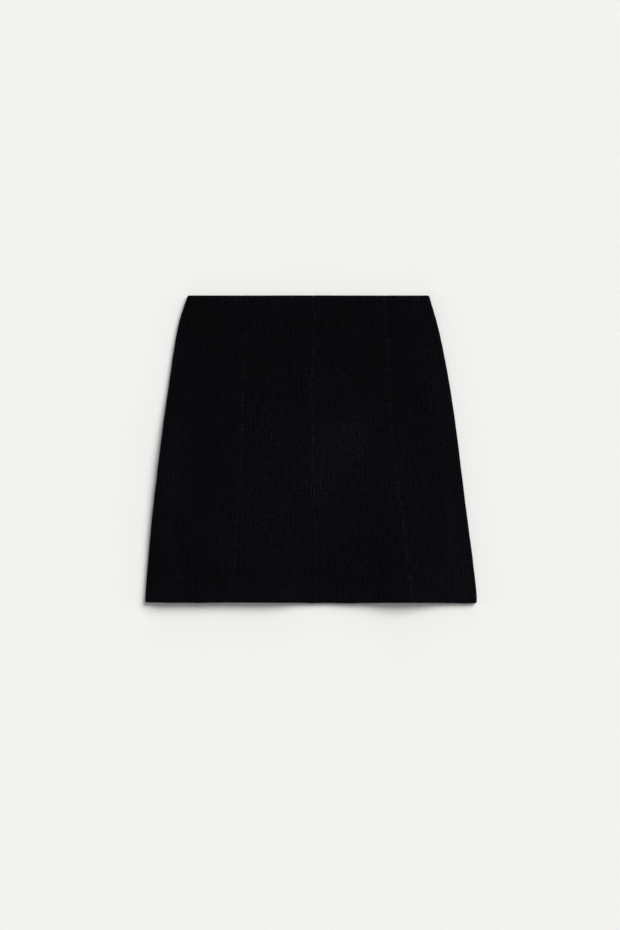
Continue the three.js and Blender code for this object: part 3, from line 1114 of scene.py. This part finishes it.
@dataclass
class Panel:
    """One cut piece of the skirt, as a closed wall with ribs outside and the plain ground inside."""

    name: str
    left: Border
    right: Border
    lean: float  # how far the ribs turn from +Y, in degrees, with their lower ends to the right
    lay: Lay
    cut: Cut
    cloth: Corduroy
    pile: PressedHighlight = PressedHighlight()
    imprint: Imprint = Imprint()

    waver: Ripple = Ripple(0.15, 9.0, 8.0, 1.0)  # of the ribs, to either side
    waver_from: float = 5.0  # it has died out at a border, and is full this far from it
    rib_at_seam: float = 0.5  # share of a rib's height that is left at a seam
    rib_low_by: float = 1.6  # and how far from the seam it is low
    rib_at_edge: float = 0.7  # share that is left at a turned edge
    rib_grows: tuple[float, float] = (0.5, 5.0)
    rib_inside: float = 0.5  # share that shows on the turned-in cloth
    rib_inside_from: tuple[float, float] = (6.0, 12.0)
    edge_in: float = 0.3  # how far the foot of the ribs lies back from a turned edge
    side_sink: float = 0.45  # share of a seam's sink at a side seam, which is pressed flat
    roll_proud: float = 0.05  # how far the cloth of a side roll stands out
    roll_fades: float = 9.0
    least_wall: float = 0.2
    off_table: float = 0.02
    clear: float = 0.16  # the lines of points along the ribs stop this far from a border

    zip_end: float = 190.0
    zip_steps: tuple[float, float] = (2.5, 12.5)  # points by the zip, where the room for its tab bends
    stem_below: float = 14.0  # where the slider's stem goes through the back seam
    stem_room: float = 1.62
    stem_half: float = 1.1
    stem_rows: tuple[float, float] = (-0.3, 0.4)
    turned_rows: tuple[float, ...] = (3.5, 6.5)
    hem_rows: tuple[float, ...] = (4.0, 8.0)
    roll_steps: int = 5
    roll_step: float = 0.35  # in radii of the roll
    face_clear: float = 0.3  # least distance of the other rows from those beside the stem
    plain_clear: float = 0.8
    just_past: float = 0.01  # how far past the turned-in cloth's edge the plain inside begins
    plain_rows: int = 40
    plain_step: float = 7.0
    least_columns: int = 6
    size_steps: int = 84

    def border(self, border: Border, below: float) -> float:
        """Where the panel's own border lies, half a gap from its neighbour, with a small notch at each end.

        Args:
            border: the panel's left or right border.
            below: distance below the waist.

        Returns:
            Its x.
        """
        if border.is_side:
            return self.cut.across(border, below)
        by_stem = border is Border.BACK_SEAM and abs(below - self.stem_below) < self.stem_room
        half = self.stem_half if by_stem else GAP / 2
        half += self.cloth.notch * max(0.0, 1.0 - self.cut.from_ends(below) / self.cloth.notch_long) ** 2
        return self.cut.across(border, below) + (half if border is self.left else -half)

    def reach(self, below: float, inner_share: float = 0.0) -> tuple[float, float]:
        """The panel's two borders on the flattened cloth.

        Args:
            below: distance below the waist.
            inner_share: 0 on the face, rising to 1 on the inner side of the wall.

        Returns:
            The left and the right border.
        """
        ends = []
        for border, inward in ((self.left, 1.0), (self.right, -1.0)):
            rolled = ROLL_RADIUS * (1 - math.pi / 2) if border.is_side else 0.0
            lap = inner_share * self.lap(border, below)
            ends.append(self.border(border, below) + inward * rolled + lap)
        return ends[0], ends[1]

    def lap(self, border: Border, below: float) -> float:
        """How far the cloths inside a seam lie past its line, so that no light shows through it.

        Args:
            border: the seam or edge.
            below: distance below the waist.

        Returns:
            The distance towards +X.
        """
        at_waist, at_hem = border.lap_sides
        return self.cloth.lap * (at_waist + (at_hem - at_waist) * below / self.cut.length)

    def width(self, below: float) -> float:
        """Width of the flattened face."""
        low, high = self.reach(below)
        return high - low

    def place(self, flat: Array, below: float, depth: Array | float) -> tuple[Array, Array]:
        """Puts points of the flattened cloth where they lie.

        Args:
            flat: distance across the flattened cloth.
            below: distance below the waist.
            depth: how deep under the face each point lies.

        Returns:
            x and z of each point.
        """
        depth = np.broadcast_to(depth, flat.shape)
        x = flat.copy()
        z = self.lay.height(flat, below) - self.lay.out * depth
        for border, inward in ((self.left, 1.0), (self.right, -1.0)):
            if not border.is_side:
                continue
            tangent = self.cut.across(border, below) + inward * ROLL_RADIUS
            tall = abs(float(self.lay.height(np.array([tangent]), below)[0]) - self.lay.seam_z)
            past = inward * (tangent - flat)
            rolled = past > 0
            angle = np.pi / 2 - np.clip(past / ROLL_RADIUS, 0, np.pi / 2)
            aside = np.maximum(ROLL_RADIUS - depth, self.least_wall)
            up = np.maximum(tall - depth, self.least_wall)
            x = np.where(rolled, tangent - inward * aside * np.cos(angle), x)
            z = np.where(rolled, self.lay.seam_z + self.lay.out * up * np.sin(angle), z)
        return x, z

    def nearest(self, flat: Array, below: float) -> tuple[Array, Array]:
        """How far each point is from the nearest border, and from the nearest sewn seam of the face.

        Args:
            flat: distance across the flattened cloth.
            below: distance below the waist.

        Returns:
            The two distances.
        """
        low, high = self.reach(below)
        to_low, to_high = flat - low, high - flat
        seam = np.minimum(FAR if self.left.is_side else to_low, FAR if self.right.is_side else to_high)
        return np.minimum(to_low, to_high), seam

    def ribbed_row(self, wall: Wall, below: float, inside: bool) -> Row:
        """A row with a point at each line of the ribs, on the face or on cloth that is turned in.

        Args:
            wall: the wall that the row joins.
            below: distance below the waist.
            inside: whether it lies on the turned-in cloth.

        Returns:
            The row.
        """
        cloth, length = self.cloth, self.cut.length
        grain = below * math.tan(math.radians(self.lean))
        edge = self.cut.from_ends(below)
        lean = math.acos(max(0.0, 1.0 - edge / cloth.thick)) if edge < cloth.thick else math.pi / 2
        low, high = self.reach(below, math.sin(lean) if inside else 0.0)
        first = math.ceil((low + self.clear - grain) / cloth.column)
        last = math.floor((high - self.clear - grain) / cloth.column)
        numbers = np.arange(first, last + 1)
        offset = np.concatenate([[low - grain], numbers * cloth.column, [high - grain]])
        border, seam = self.nearest(offset + grain, below)
        loose = np.clip(border / self.waver_from, 0.0, 1.0)
        flat = offset + grain + loose * self.waver.height(below, offset)

        rib = self.rib(offset, border, below)
        sink = cloth.thick * (1.0 - math.sin(lean))
        if inside:
            shown = self.rib_inside * smooth_step(border, *self.rib_inside_from)
            depth = 2 * cloth.thick - sink + shown * rib * math.sin(lean)
        else:
            depth = sink + self.seam_sink(border, seam) - rib * math.sin(lean)
            depth = np.minimum(depth, 2 * cloth.thick - self.least_wall) - self.lifted(seam, below)
            depth = depth - self.roll_proud * self.rolled_share(flat, below)
            if self.lay.out < 0:
                depth = np.maximum(depth + cloth.rib_foot + cloth.rib_rise, self.off_table)
        x, z = self.place(flat, below, depth)
        outward = math.cos(lean) * (rib - self.edge_in)
        toward = 1.0 if below < length / 2 else -1.0
        y = length / 2 - below + toward * outward - self.lay.hem_drop(x, below)
        ribs = np.stack([offset / cloth.pitch, np.full(x.shape, below / cloth.pitch)], axis=1)
        keys = np.concatenate([[-BORDER_KEY], numbers, [BORDER_KEY]])
        pressed_highlight = np.zeros(x.shape) if inside else self.pressed_highlight(flat, below)
        nap_and_painted_light = self.nap_and_painted_light(x, below)
        return wall.row(below, np.stack([x, y, z], axis=1), ribs, keys, pressed_highlight, nap_and_painted_light, True)

    def rib(self, offset: Array, border: Array, below: float) -> Array:
        """Height of the ribs, which are lower by a seam and by a turned edge.

        Args:
            offset: distance across the ribs.
            border: distance to the nearest border.
            below: distance below the waist.

        Returns:
            The height at each point.
        """
        by_seam = 1.0 - (1.0 - self.rib_at_seam) * np.exp(-((border / self.rib_low_by) ** 2))
        grown = smooth_step(self.cut.from_ends(below), *self.rib_grows)
        by_edge = self.rib_at_edge + (1.0 - self.rib_at_edge) * grown
        return self.cloth.rib(offset, below) * by_seam * by_edge

    def seam_sink(self, border: Array, seam: Array) -> Array:
        """How deep the face lies by its borders, and less deep by a side seam than by another."""
        nearer_side = seam > border + HAIR
        return self.cloth.sink(border) * np.where(nearer_side, self.side_sink, 1.0)

    def rolled_share(self, flat: Array, below: float) -> Array:
        """1 where the cloth rolls round to a side seam, fading to 0 on the flat.

        Args:
            flat: distance across the flattened cloth.
            below: distance below the waist.

        Returns:
            The share at each point.
        """
        share = np.zeros(flat.shape)
        for border, inward in ((self.left, 1.0), (self.right, -1.0)):
            if border.is_side:
                past = inward * (flat - self.cut.across(border, below)) - ROLL_RADIUS
                share = np.maximum(share, 1.0 - smooth_step(past, 0.0, self.roll_fades))
        return share

    def lifted(self, seam: Array, below: float) -> Array:
        """How far the turned-in cloth inside and the sewing lift the face.

        Args:
            seam: distance to the nearest sewn seam.
            below: distance below the waist.

        Returns:
            The lift at each point.
        """
        cloth, mark = self.cloth, self.imprint
        waist = mark.share(below, cloth.turn_in, mark.past_turning)
        hem = mark.share(self.cut.length - below, cloth.turn_up, mark.past_turning)
        inside = np.maximum(mark.share(seam, cloth.allowance, mark.past_allowance), max(waist, hem))
        even = mark.evenness + (1.0 - mark.evenness) * uneven(below / mark.wave, 0.0, mark.seed)
        pucker = uneven(below / mark.pucker_long, 0.0, float(len(self.name)))
        pucker = pucker * np.exp(-((seam / mark.pucker_wide) ** 2))
        return mark.rise * even * inside + mark.pucker * pucker * self.lay.out

    def pressed_highlight(self, flat: Array, below: float) -> Array:
        """The painted highlight where the flattened pile catches the light, along the seams and at the
        turned edges.

        Args:
            flat: distance across the flattened cloth.
            below: distance below the waist.

        Returns:
            The strength at each point.
        """
        edge = math.exp(-((self.cut.from_ends(below) / self.pile.edge_deep) ** 2))
        total = np.full(flat.shape, self.pile.edge * edge)
        low, high = self.reach(below)
        for border, away in ((self.left, flat - low), (self.right, high - flat)):
            if not border.is_side:
                total = total + self.pile.seam(border, below) * self.pile.line(away)
        return total

    def nap_and_painted_light(self, x: Array, below: float) -> Array:
        """How far the pile stands up or lies down, with painted highlight on folds that face the light and
        painted shade in hollows.
        """
        return sum(patch.height(x, below) for patch in self.lay.nap_and_painted_light)

    def cloths_inside(self, below: float) -> int:
        """How many cloths lie on each other away from the borders."""
        turned = below < self.cloth.turn_in or below > self.cut.length - self.cloth.turn_up
        return 2 if turned else 1

    def inner_steps(self, border: Border, below: float) -> list[tuple[float, int]]:
        """Where the plain inside has points by a border, and how many cloths lie on each other there.

        Args:
            border: the panel's left or right border.
            below: distance below the waist.

        Returns:
            Distances in from the border, each with the number of cloths.
        """
        cloth, inside = self.cloth, self.cloths_inside(below)
        if border is Border.BACK_SEAM and below < self.zip_end:
            return [(distance, inside) for distance in (0.0, *self.zip_steps)]
        roll = range(1, self.roll_steps + 1) if border.is_side else ()
        rolled = [(self.roll_step * number * ROLL_RADIUS, 2) for number in roll]
        return [(0.0, 2), *rolled, (cloth.allowance, 2), (cloth.allowance + cloth.step, inside)]

    def plain_row(self, wall: Wall, below: float, columns: int) -> Row:
        """A row of the plain inner face, with a step at the edge of each seam allowance.

        Args:
            wall: the wall that the row joins.
            below: distance below the waist.
            columns: how many points lie between the allowances.

        Returns:
            The row.
        """
        thick = self.cloth.thick
        low, high = self.reach(below, 1.0)
        left, right = self.inner_steps(self.left, below), self.inner_steps(self.right, below)
        right.reverse()
        first, last = low + left[-1][0], high - right[0][0]
        middle = np.linspace(first, last, columns + 2)[1:-1]
        flat = np.array([*(low + step for step, _ in left), *middle, *(high - step for step, _ in right)])
        cloths = [count for _, count in left] + [self.cloths_inside(below)] * columns
        cloths += [count for _, count in right]
        x, z = self.place(flat, below, thick * np.array(cloths))
        place = np.stack([x, np.full(x.shape, self.cut.length / 2 - below), z], axis=1)
        ribs = np.stack([flat, np.full(x.shape, below)], axis=1) / self.cloth.pitch
        none = np.zeros(x.shape)
        return wall.row(below, place, ribs, np.arange(len(x)), none, none, False)

    def row_places(self) -> tuple[list[float], list[float], list[float]]:
        """Where the rows of points lie, with rows of their own beside the slider's stem.

        Returns:
            Distances below the waist on the face, on the turned-in cloth and on the plain inside.
        """
        length, cloth = self.cut.length, self.cloth
        rounding = [cloth.thick * (1 - math.cos(math.radians(angle))) for angle in EDGE_ANGLES]
        flat = length - 2 * cloth.thick
        count = round(flat / self.lay.row_step)
        even = [cloth.thick + flat * number / count for number in range(1, count)]
        beside_stem = []
        if Border.BACK_SEAM in (self.left, self.right):
            beside_stem = [self.stem_below + side * (self.stem_room + shift)
                           for side in (-1, 1) for shift in self.stem_rows]
            even = apart(even, beside_stem, self.face_clear)
        face = rounding + even + beside_stem + [length - place for place in rounding]
        turned = [*rounding[1:], *self.turned_rows, cloth.turn_in - cloth.step]
        turned += [length - place for place in (*rounding[1:], *self.hem_rows, cloth.turn_up - cloth.step)]
        start, stop = cloth.turn_in + self.just_past, length - cloth.turn_up - self.just_past
        plain = [start + (stop - start) * number / self.plain_rows for number in range(self.plain_rows + 1)]
        if beside_stem:
            plain = apart(plain, beside_stem, self.plain_clear) + beside_stem
            plain += [self.zip_end - cloth.step, self.zip_end]
        return sorted(face), sorted(turned), sorted(plain)

    def build(self, materials: Sequence[bpy.types.Material]) -> bpy.types.Object:
        """Makes the panel.

        Args:
            materials: pile and ground.

        Returns:
            The panel's object.
        """
        face, turned, plain = self.row_places()
        wall = Wall()
        face_rows = [self.ribbed_row(wall, below, False) for below in face]
        inner_rows = [self.ribbed_row(wall, below, True) for below in turned]
        columns = max(self.least_columns, round(self.width(self.cut.length / 2) / self.plain_step))
        inner_rows += [self.plain_row(wall, below, columns) for below in plain]
        inner_rows.sort(key=lambda row: row.along)
        wall.close(face_rows, inner_rows, flip=self.lay.out < 0)
        return wall.object(self.name + "_cloth", materials)

    def cut_size(self) -> tuple[float, float, float]:
        """The size of the shown cloth, flattened.

        Returns:
            Its greatest width and its length in metres, and its area in square metres.
        """
        places = np.linspace(0.0, self.cut.length, self.size_steps + 1)
        widths = np.array([self.width(below) for below in places])
        area = float((widths[1:] + widths[:-1]).sum()) / 2 * self.cut.length / self.size_steps
        return float(widths.max()) * MM, self.cut.length * MM, area * MM * MM

    def dress(self, piece: bpy.types.Object, rests_on: Sequence[str]) -> None:
        """Shades the panel, ties it to its body, hides its solid and logs the size of its cut.

        Args:
            piece: the panel's object.
            rests_on: what it lies on; not used.
        """
        sharp_borders(piece, degrees=50.0)
        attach(piece, "skirt")
        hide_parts(self.name)
        width, length, area = self.cut_size()
        faces = len(piece.data.polygons)
        LOG.info("%s: %d faces, cut %.0f x %.0f mm", piece.name, faces, width / MM, length / MM)


def sharp_borders(piece: bpy.types.Object, degrees: float) -> None:
    """Shades an object smooth, but for edges whose faces turn by more than an angle.

    Args:
        piece: the object.
        degrees: the angle.
    """
    bpy.ops.object.select_all(action="DESELECT")
    piece.select_set(True)
    bpy.context.view_layer.objects.active = piece
    bpy.ops.object.shade_smooth_by_angle(angle=math.radians(degrees))


def select_faces(piece: bpy.types.Object, wanted: Callable[[Vector, Vector], bool]) -> None:
    """Enters edit mode with only some faces of an object selected.

    Args:
        piece: the object.
        wanted: tells from a face's centre and normal whether it is selected.
    """
    if bpy.context.mode != "OBJECT":
        bpy.ops.object.mode_set(mode="OBJECT")
    for part in (piece.data.vertices, piece.data.edges):
        part.foreach_set("select", [False] * len(part))
    for face in piece.data.polygons:
        face.select = wanted(face.center, face.normal)
    bpy.ops.object.mode_set(mode="EDIT")
    bpy.ops.mesh.select_mode(type="FACE")


def extrude(step: tuple[float, float, float]) -> None:
    """Extrudes the selected faces by a step."""
    bpy.ops.mesh.extrude_region_move(TRANSFORM_OT_translate={"value": step})


def settle(piece: bpy.types.Object, place: tuple[float, float, float]) -> None:
    """Brings an object modelled in millimetres to its place, in metres, with its origin at the frame's.

    Args:
        piece: the object.
        place: where the middle of its own millimetres comes, in millimetres.
    """
    if bpy.context.mode != "OBJECT":
        bpy.ops.object.mode_set(mode="OBJECT")
    bpy.ops.object.select_all(action="DESELECT")
    piece.select_set(True)
    bpy.context.view_layer.objects.active = piece
    piece.location = [(own + shift) * MM for own, shift in zip(piece.location, place)]
    piece.scale = (MM, MM, MM)
    bpy.ops.object.transform_apply(location=True, rotation=True, scale=True)


def apply_modifiers(piece: bpy.types.Object) -> None:
    """Applies every modifier of the active object."""
    for modifier in list(piece.modifiers):
        bpy.ops.object.modifier_apply(modifier=modifier.name)


# ---- The zip ----


@dataclass(frozen=True)
class Chain:
    """The closed chain of the zip: the tape, sewn inside the back seam, and the coil on it.

    The tape lies over_face above the back's underside, and bends lag further down than the cloth. It is
    thicker at its corded edges, whose last cord_round is rounded off by cord_drop of the thickness.
    """

    cut: Cut
    lay: BackLay
    start: float = 16.1
    end: float = 186.0
    lag: float = 2.0
    over_face: float = 1.5 + GAP
    tape_half: float = 11.0
    tape_thick: float = 0.6
    tape_columns: tuple[float, ...] = (1.5, 3.0, 5.0, 7.0)
    edge_thick: float = 0.75
    edge_wide: float = 1.4
    edge_columns: tuple[float, ...] = (1.4, 1.0, 0.5, 0.2, 0.0)
    cord_full: float = 0.5
    cord_round: float = 0.3
    cord_drop: float = 0.4
    row_step: float = 2.0
    first_tooth: float = 0.5
    last_tooth: float = 1.0
    tooth_pitch: float = 1.4
    tooth_long: float = 2.9
    tooth_middle: float = 0.75
    tooth_bevel: float = 0.16
    stagger: float = 0.25  # of each side's teeth from the mean, in pitches
    yarn: float = 0.56

    def foot(self, x: Array, below: float) -> Array:
        """Height of the tape's lower side."""
        return self.lay.height(x, below - self.lag) + self.over_face

    def thickness(self, aside: Array) -> Array:
        """Thickness of the tape.

        Args:
            aside: distance from its middle.

        Returns:
            The thickness at each point.
        """
        half, out = self.tape_half, np.abs(aside)
        corded = smooth_step(out, half - self.edge_wide, half - self.cord_full)
        rounded = 1.0 - self.cord_drop * smooth_step(out, half - self.cord_round, half)
        return (self.tape_thick + (self.edge_thick - self.tape_thick) * corded) * rounded

    def tape_row(self, wall: Wall, below: float, top: bool) -> Row:
        """A row of points across the tape.

        Args:
            wall: the wall that the row joins.
            below: distance below the waist.
            top: whether it lies on the upper side.

        Returns:
            The row.
        """
        right = np.array([*self.tape_columns, *(self.tape_half - inward for inward in self.edge_columns)])
        aside = np.concatenate([-right[::-1], [0.0], right])
        x = self.cut.across(Border.BACK_SEAM, below) + aside
        z = self.foot(x, below) + (self.thickness(aside) if top else 0.0)
        place = np.stack([x, np.full(x.shape, self.cut.length / 2 - below), z], axis=1)
        none = np.zeros(x.shape)
        return wall.row(below, place, np.stack([aside, none + below], axis=1), aside, none, none, True)

    def tape(self, material: bpy.types.Material) -> bpy.types.Object:
        """Makes the tape.

        Args:
            material: its finish.

        Returns:
            The tape.
        """
        wall = Wall()
        count = round((self.end - self.start) / self.row_step)
        places = np.linspace(self.start, self.end, count + 1)
        top = [self.tape_row(wall, float(below), True) for below in places]
        bottom = [self.tape_row(wall, float(below), False) for below in places]
        wall.close(top, bottom, flip=False)
        return wall.object("zip_tape", [material])

    def teeth(self, side: float) -> bpy.types.Object:
        """Makes one side's teeth: a rounded bar, repeated down the straight zip.

        Args:
            side: -1 for the left side, 1 for the right.

        Returns:
            The teeth, in millimetres, with the chain's foot as their floor.
        """
        offset = self.start + self.first_tooth + (0.5 + self.stagger * side) * self.tooth_pitch
        at = (side * self.tooth_middle, -offset, self.tape_thick + self.yarn / 2)
        bpy.ops.object.select_all(action="DESELECT")
        bpy.ops.mesh.primitive_cylinder_add(vertices=8, radius=self.yarn / 2, depth=self.tooth_long,
                                            location=at, rotation=(0.0, math.pi / 2, 0.0))
        teeth = bpy.context.active_object
        bpy.ops.object.transform_apply(location=True, rotation=True, scale=True)
        select_faces(teeth, lambda centre, normal: abs(normal.x) > FACING)
        bpy.ops.mesh.bevel(offset=self.tooth_bevel, segments=2, affect="EDGES")
        bpy.ops.object.mode_set(mode="OBJECT")
        repeat = teeth.modifiers.new("repeat", "ARRAY")
        repeat.use_relative_offset = False
        repeat.use_constant_offset = True
        repeat.constant_offset_displace = (0.0, -self.tooth_pitch, 0.0)
        repeat.count = int((self.end - self.last_tooth - offset) / self.tooth_pitch)
        apply_modifiers(teeth)
        return teeth

    def coil(self, material: bpy.types.Material) -> bpy.types.Object:
        """Makes the coil, and bends it to the way that the zip lies.

        Args:
            material: its finish.

        Returns:
            The coil.
        """
        left, right = self.teeth(-1.0), self.teeth(1.0)
        bpy.ops.object.select_all(action="DESELECT")
        left.select_set(True)
        right.select_set(True)
        bpy.context.view_layer.objects.active = right
        bpy.ops.object.join()
        right.name = right.data.name = "zip_coil"
        for vertex in right.data.vertices:
            below = -vertex.co.y
            middle = self.cut.across(Border.BACK_SEAM, below)
            vertex.co.z += float(self.foot(np.array([middle]), below)[0])
            vertex.co.x += middle
        settle(right, (0.0, self.cut.length / 2, 0.0))
        right.data.materials.append(material)
        sharp_borders(right, degrees=60.0)
        return right

    def build(self) -> None:
        """Makes and dresses the tape with its coil."""
        tape = self.tape(TapeWeave().material())
        nylon = TapeWeave("zip_coil_nylon", colour=(0.012, 0.012, 0.013), roughness=0.4, weave_scale=381.0)
        coil = self.coil(nylon.material())
        sharp_borders(tape, degrees=50.0)
        for piece in (tape, coil):
            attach(piece, "skirt")
            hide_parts("zip_chain")
            LOG.info("%s: %d faces", piece.name, len(piece.data.polygons))


@dataclass(frozen=True)
class PullTab:
    """The zip's pull tab: a bevelled plate with a rounded end, a shallow panel on each face, and an eye."""

    pivot: tuple[float, float, float] = (-9.95, 196.0, 1.15)
    thick: float = 0.9
    bar: float = 0.8
    length: float = 22.0
    wide: float = 4.6
    neck: float = 4.2
    neck_long: float = 4.0
    eye_wide: float = 2.8
    eye_long: float = 2.2
    margin: float = 0.75
    panel_slope: float = 0.12
    panel_depth: float = 0.12
    bevel: float = 0.13
    bevel_from: float = 50.0  # least turn of an edge that is bevelled, in degrees
    cut_clear: float = 0.01
    join: float = 1e-5

    def plate(self) -> bpy.types.Object:
        """Models the plate from its rounded end up to the bar.

        Returns:
            The plate, in millimetres, with the pivot at the middle.
        """
        radius = self.wide / 2
        end = radius - self.length
        neck = self.bar / 2 - self.neck_long
        eye = -self.bar / 2 - self.eye_long
        bpy.ops.object.select_all(action="DESELECT")
        bpy.ops.mesh.primitive_cylinder_add(vertices=56, radius=radius, depth=self.thick,
                                            location=(0.0, end, 0.0))
        plate = bpy.context.active_object
        plate.name = plate.data.name = "pull_tab"
        bpy.ops.object.transform_apply(location=True, rotation=True, scale=True)
        bpy.ops.object.mode_set(mode="EDIT")
        bpy.ops.mesh.select_all(action="SELECT")
        bpy.ops.mesh.bisect(plane_co=(0.0, end, 0.0), plane_no=(0.0, 1.0, 0.0), use_fill=True,
                            clear_outer=True, threshold=self.join)
        select_faces(plate, lambda centre, normal: normal.y > FACING)
        extrude((0.0, neck - end, 0.0))
        bpy.ops.transform.resize(value=(self.neck / self.wide, 1.0, 1.0))
        for step in (eye - neck, self.eye_long, self.bar):
            extrude((0.0, step, 0.0))
        return plate

    def cut_eye(self, plate: bpy.types.Object) -> None:
        """Cuts the eye through the neck, which leaves the bar.

        Args:
            plate: the tab's plate.
        """
        low, high = -self.bar / 2 - self.eye_long, -self.bar / 2
        for side in (-1.0, 1.0):
            select_faces(plate, lambda centre, normal: centre.y > low - self.cut_clear)
            bpy.ops.mesh.bisect(plane_co=(side * self.eye_wide / 2, 0.0, 0.0), plane_no=(1.0, 0.0, 0.0),
                                threshold=self.join)
        select_faces(plate, lambda centre, normal: abs(normal.z) > FACING and low < centre.y < high
                     and abs(centre.x) < self.eye_wide / 2)
        bpy.ops.mesh.bridge_edge_loops()

    def sink_panels(self, plate: bpy.types.Object) -> None:
        """Sinks a shallow panel into each face of the plate.

        Args:
            plate: the tab's plate.
        """
        neck = self.bar / 2 - self.neck_long
        select_faces(plate, lambda centre, normal: abs(normal.z) > FACING and centre.y < neck)
        bpy.ops.mesh.inset(thickness=self.margin, depth=0.0)
        bpy.ops.mesh.inset(thickness=self.panel_slope, depth=-self.panel_depth)

    def build(self, material: bpy.types.Material) -> None:
        """Makes and dresses the tab.

        Args:
            material: its finish.
        """
        tab = self.plate()
        self.cut_eye(tab)
        self.sink_panels(tab)
        bpy.ops.object.mode_set(mode="OBJECT")
        rounding = tab.modifiers.new("rounding", "BEVEL")
        rounding.width = self.bevel
        rounding.segments = 3
        rounding.limit_method = "ANGLE"
        rounding.angle_limit = math.radians(self.bevel_from)
        apply_modifiers(tab)
        settle(tab, self.pivot)
        tab.data.materials.append(material)
        sharp_borders(tab, degrees=40.0)
        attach(tab, "zip_tab")
        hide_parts("zip_tab")
        LOG.info("%s: %d faces", tab.name, len(tab.data.polygons))


# ---- Table, light and camera ----


@dataclass(frozen=True)
class Light:
    """A large soft light far away.

    Its azimuth runs from +X towards +Y, its spread is its apparent size, and both and its height are in
    degrees.
    """

    name: str
    azimuth: float
    height: float
    spread: float
    strength: float

    def hang(self) -> None:
        """Puts the light in the scene."""
        data = bpy.data.lights.new(self.name, "SUN")
        data.energy = self.strength
        data.angle = math.radians(self.spread)
        lamp = bpy.data.objects.new(self.name, data)
        lamp.rotation_euler = (0.0, math.radians(90.0 - self.height), math.radians(self.azimuth))
        bpy.context.collection.objects.link(lamp)


@dataclass(frozen=True)
class Studio:
    """A pale table, a large soft light beyond the waist to the right, fainter ones round it, and a camera.

    The camera hangs over the skirt and looks straight down.
    """

    table_size: float = 14.0
    key: Light = Light("key", 48.0, 41.5, 39.0, 3.88)
    fill: Light = Light("fill", 204.0, 64.0, 60.0, 0.37)
    walls: tuple[Light, ...] = tuple(Light(f"wall_{k}", 90.0 * k, 12.0, 20.0, 0.60) for k in range(4))
    ambient: float = 0.08
    room: Colour = (0.896, 0.888, 0.871)  # what the camera sees beyond the table
    camera_place: tuple[float, float, float] = (-0.00150, -0.0219, 3.0065)
    lens: float = 84.95

    def table(self) -> None:
        """Lays the table."""
        bpy.ops.object.select_all(action="DESELECT")
        bpy.ops.mesh.primitive_grid_add(x_subdivisions=8, y_subdivisions=8, size=self.table_size)
        table = bpy.context.active_object
        table.name = "table"
        table.data.materials.append(PaleTable().material())

    def light(self) -> None:
        """Hangs the lights, and sets the even light of the room."""
        for light in (self.key, self.fill, *self.walls):
            light.hang()
        world = bpy.data.worlds.new("room")
        bpy.context.scene.world = world
        world.use_nodes = True
        tree = world.node_tree
        tree.nodes.clear()
        room = tree.nodes.new("ShaderNodeBackground")
        room.inputs["Strength"].default_value = self.ambient
        seen = tree.nodes.new("ShaderNodeBackground")
        seen.inputs["Color"].default_value = (*self.room, 1.0)
        path = tree.nodes.new("ShaderNodeLightPath")
        mix = tree.nodes.new("ShaderNodeMixShader")
        output = tree.nodes.new("ShaderNodeOutputWorld")
        tree.links.new(path.outputs["Is Camera Ray"], mix.inputs[0])
        tree.links.new(room.outputs[0], mix.inputs[1])
        tree.links.new(seen.outputs[0], mix.inputs[2])
        tree.links.new(mix.outputs[0], output.inputs[0])

    def camera(self) -> None:
        """Hangs the camera over the skirt."""
        data = bpy.data.cameras.new("camera")
        data.lens = self.lens
        data.sensor_width = 36.0
        data.clip_end = 50.0
        camera = bpy.data.objects.new("camera", data)
        camera.location = self.camera_place
        bpy.context.collection.objects.link(camera)
        bpy.context.scene.camera = camera
        bpy.context.scene.view_settings.view_transform = "Standard"

    def build(self) -> None:
        """Makes all of it."""
        self.table()
        self.light()
        self.camera()


# ---- The skirt ----


@dataclass
class Skirt:
    """The whole skirt: four front panels on two back panels, with a concealed zip."""

    cut: Cut = field(default_factory=Cut)
    cloth: Corduroy = field(default_factory=Corduroy)

    def panels(self) -> list[tuple[Panel, list[str]]]:
        """The panels of the skirt.

        Returns:
            Each panel with what it lies on.
        """
        front, back = FrontLay(self.cut), BackLay(self.cut)
        left, right, table = ["back_left"], ["back_right"], ["table"]
        rows = (
            ("front_side_left", Border.LEFT_EDGE, Border.LEFT_SEAM, -1.0, front, left),
            ("front_centre_left", Border.LEFT_SEAM, Border.CENTRE_SEAM, 1.5, front, left + right),
            ("front_centre_right", Border.CENTRE_SEAM, Border.RIGHT_SEAM, 0.5, front, right),
            ("front_side_right", Border.RIGHT_SEAM, Border.RIGHT_EDGE, 3.0, front, right),
            ("back_left", Border.LEFT_EDGE, Border.BACK_SEAM, -2.0, back, table),
            ("back_right", Border.BACK_SEAM, Border.RIGHT_EDGE, 2.0, back, table),
        )
        return [(Panel(*row, self.cut, self.cloth), rests_on) for *row, rests_on in rows]

    def build(self) -> None:
        """Makes and dresses every piece."""
        materials = [CorduroyPile().material(), CorduroyGround().material()]
        for panel, rests_on in self.panels():
            piece = panel.build(materials)
            panel.dress(piece, rests_on)
        Chain(self.cut, BackLay(self.cut)).build()
        enamel = BlackEnamel().material()
        PullTab().build(enamel)
        slider = bpy.data.objects["zip_slider"]
        slider.data.materials.clear()
        slider.data.materials.append(enamel)


def main() -> None:
    """Builds the scene."""
    logging.basicConfig(level=logging.INFO, format="%(message)s")
    Studio().build()
    Skirt().build()


if __name__ == "__main__":
    main()
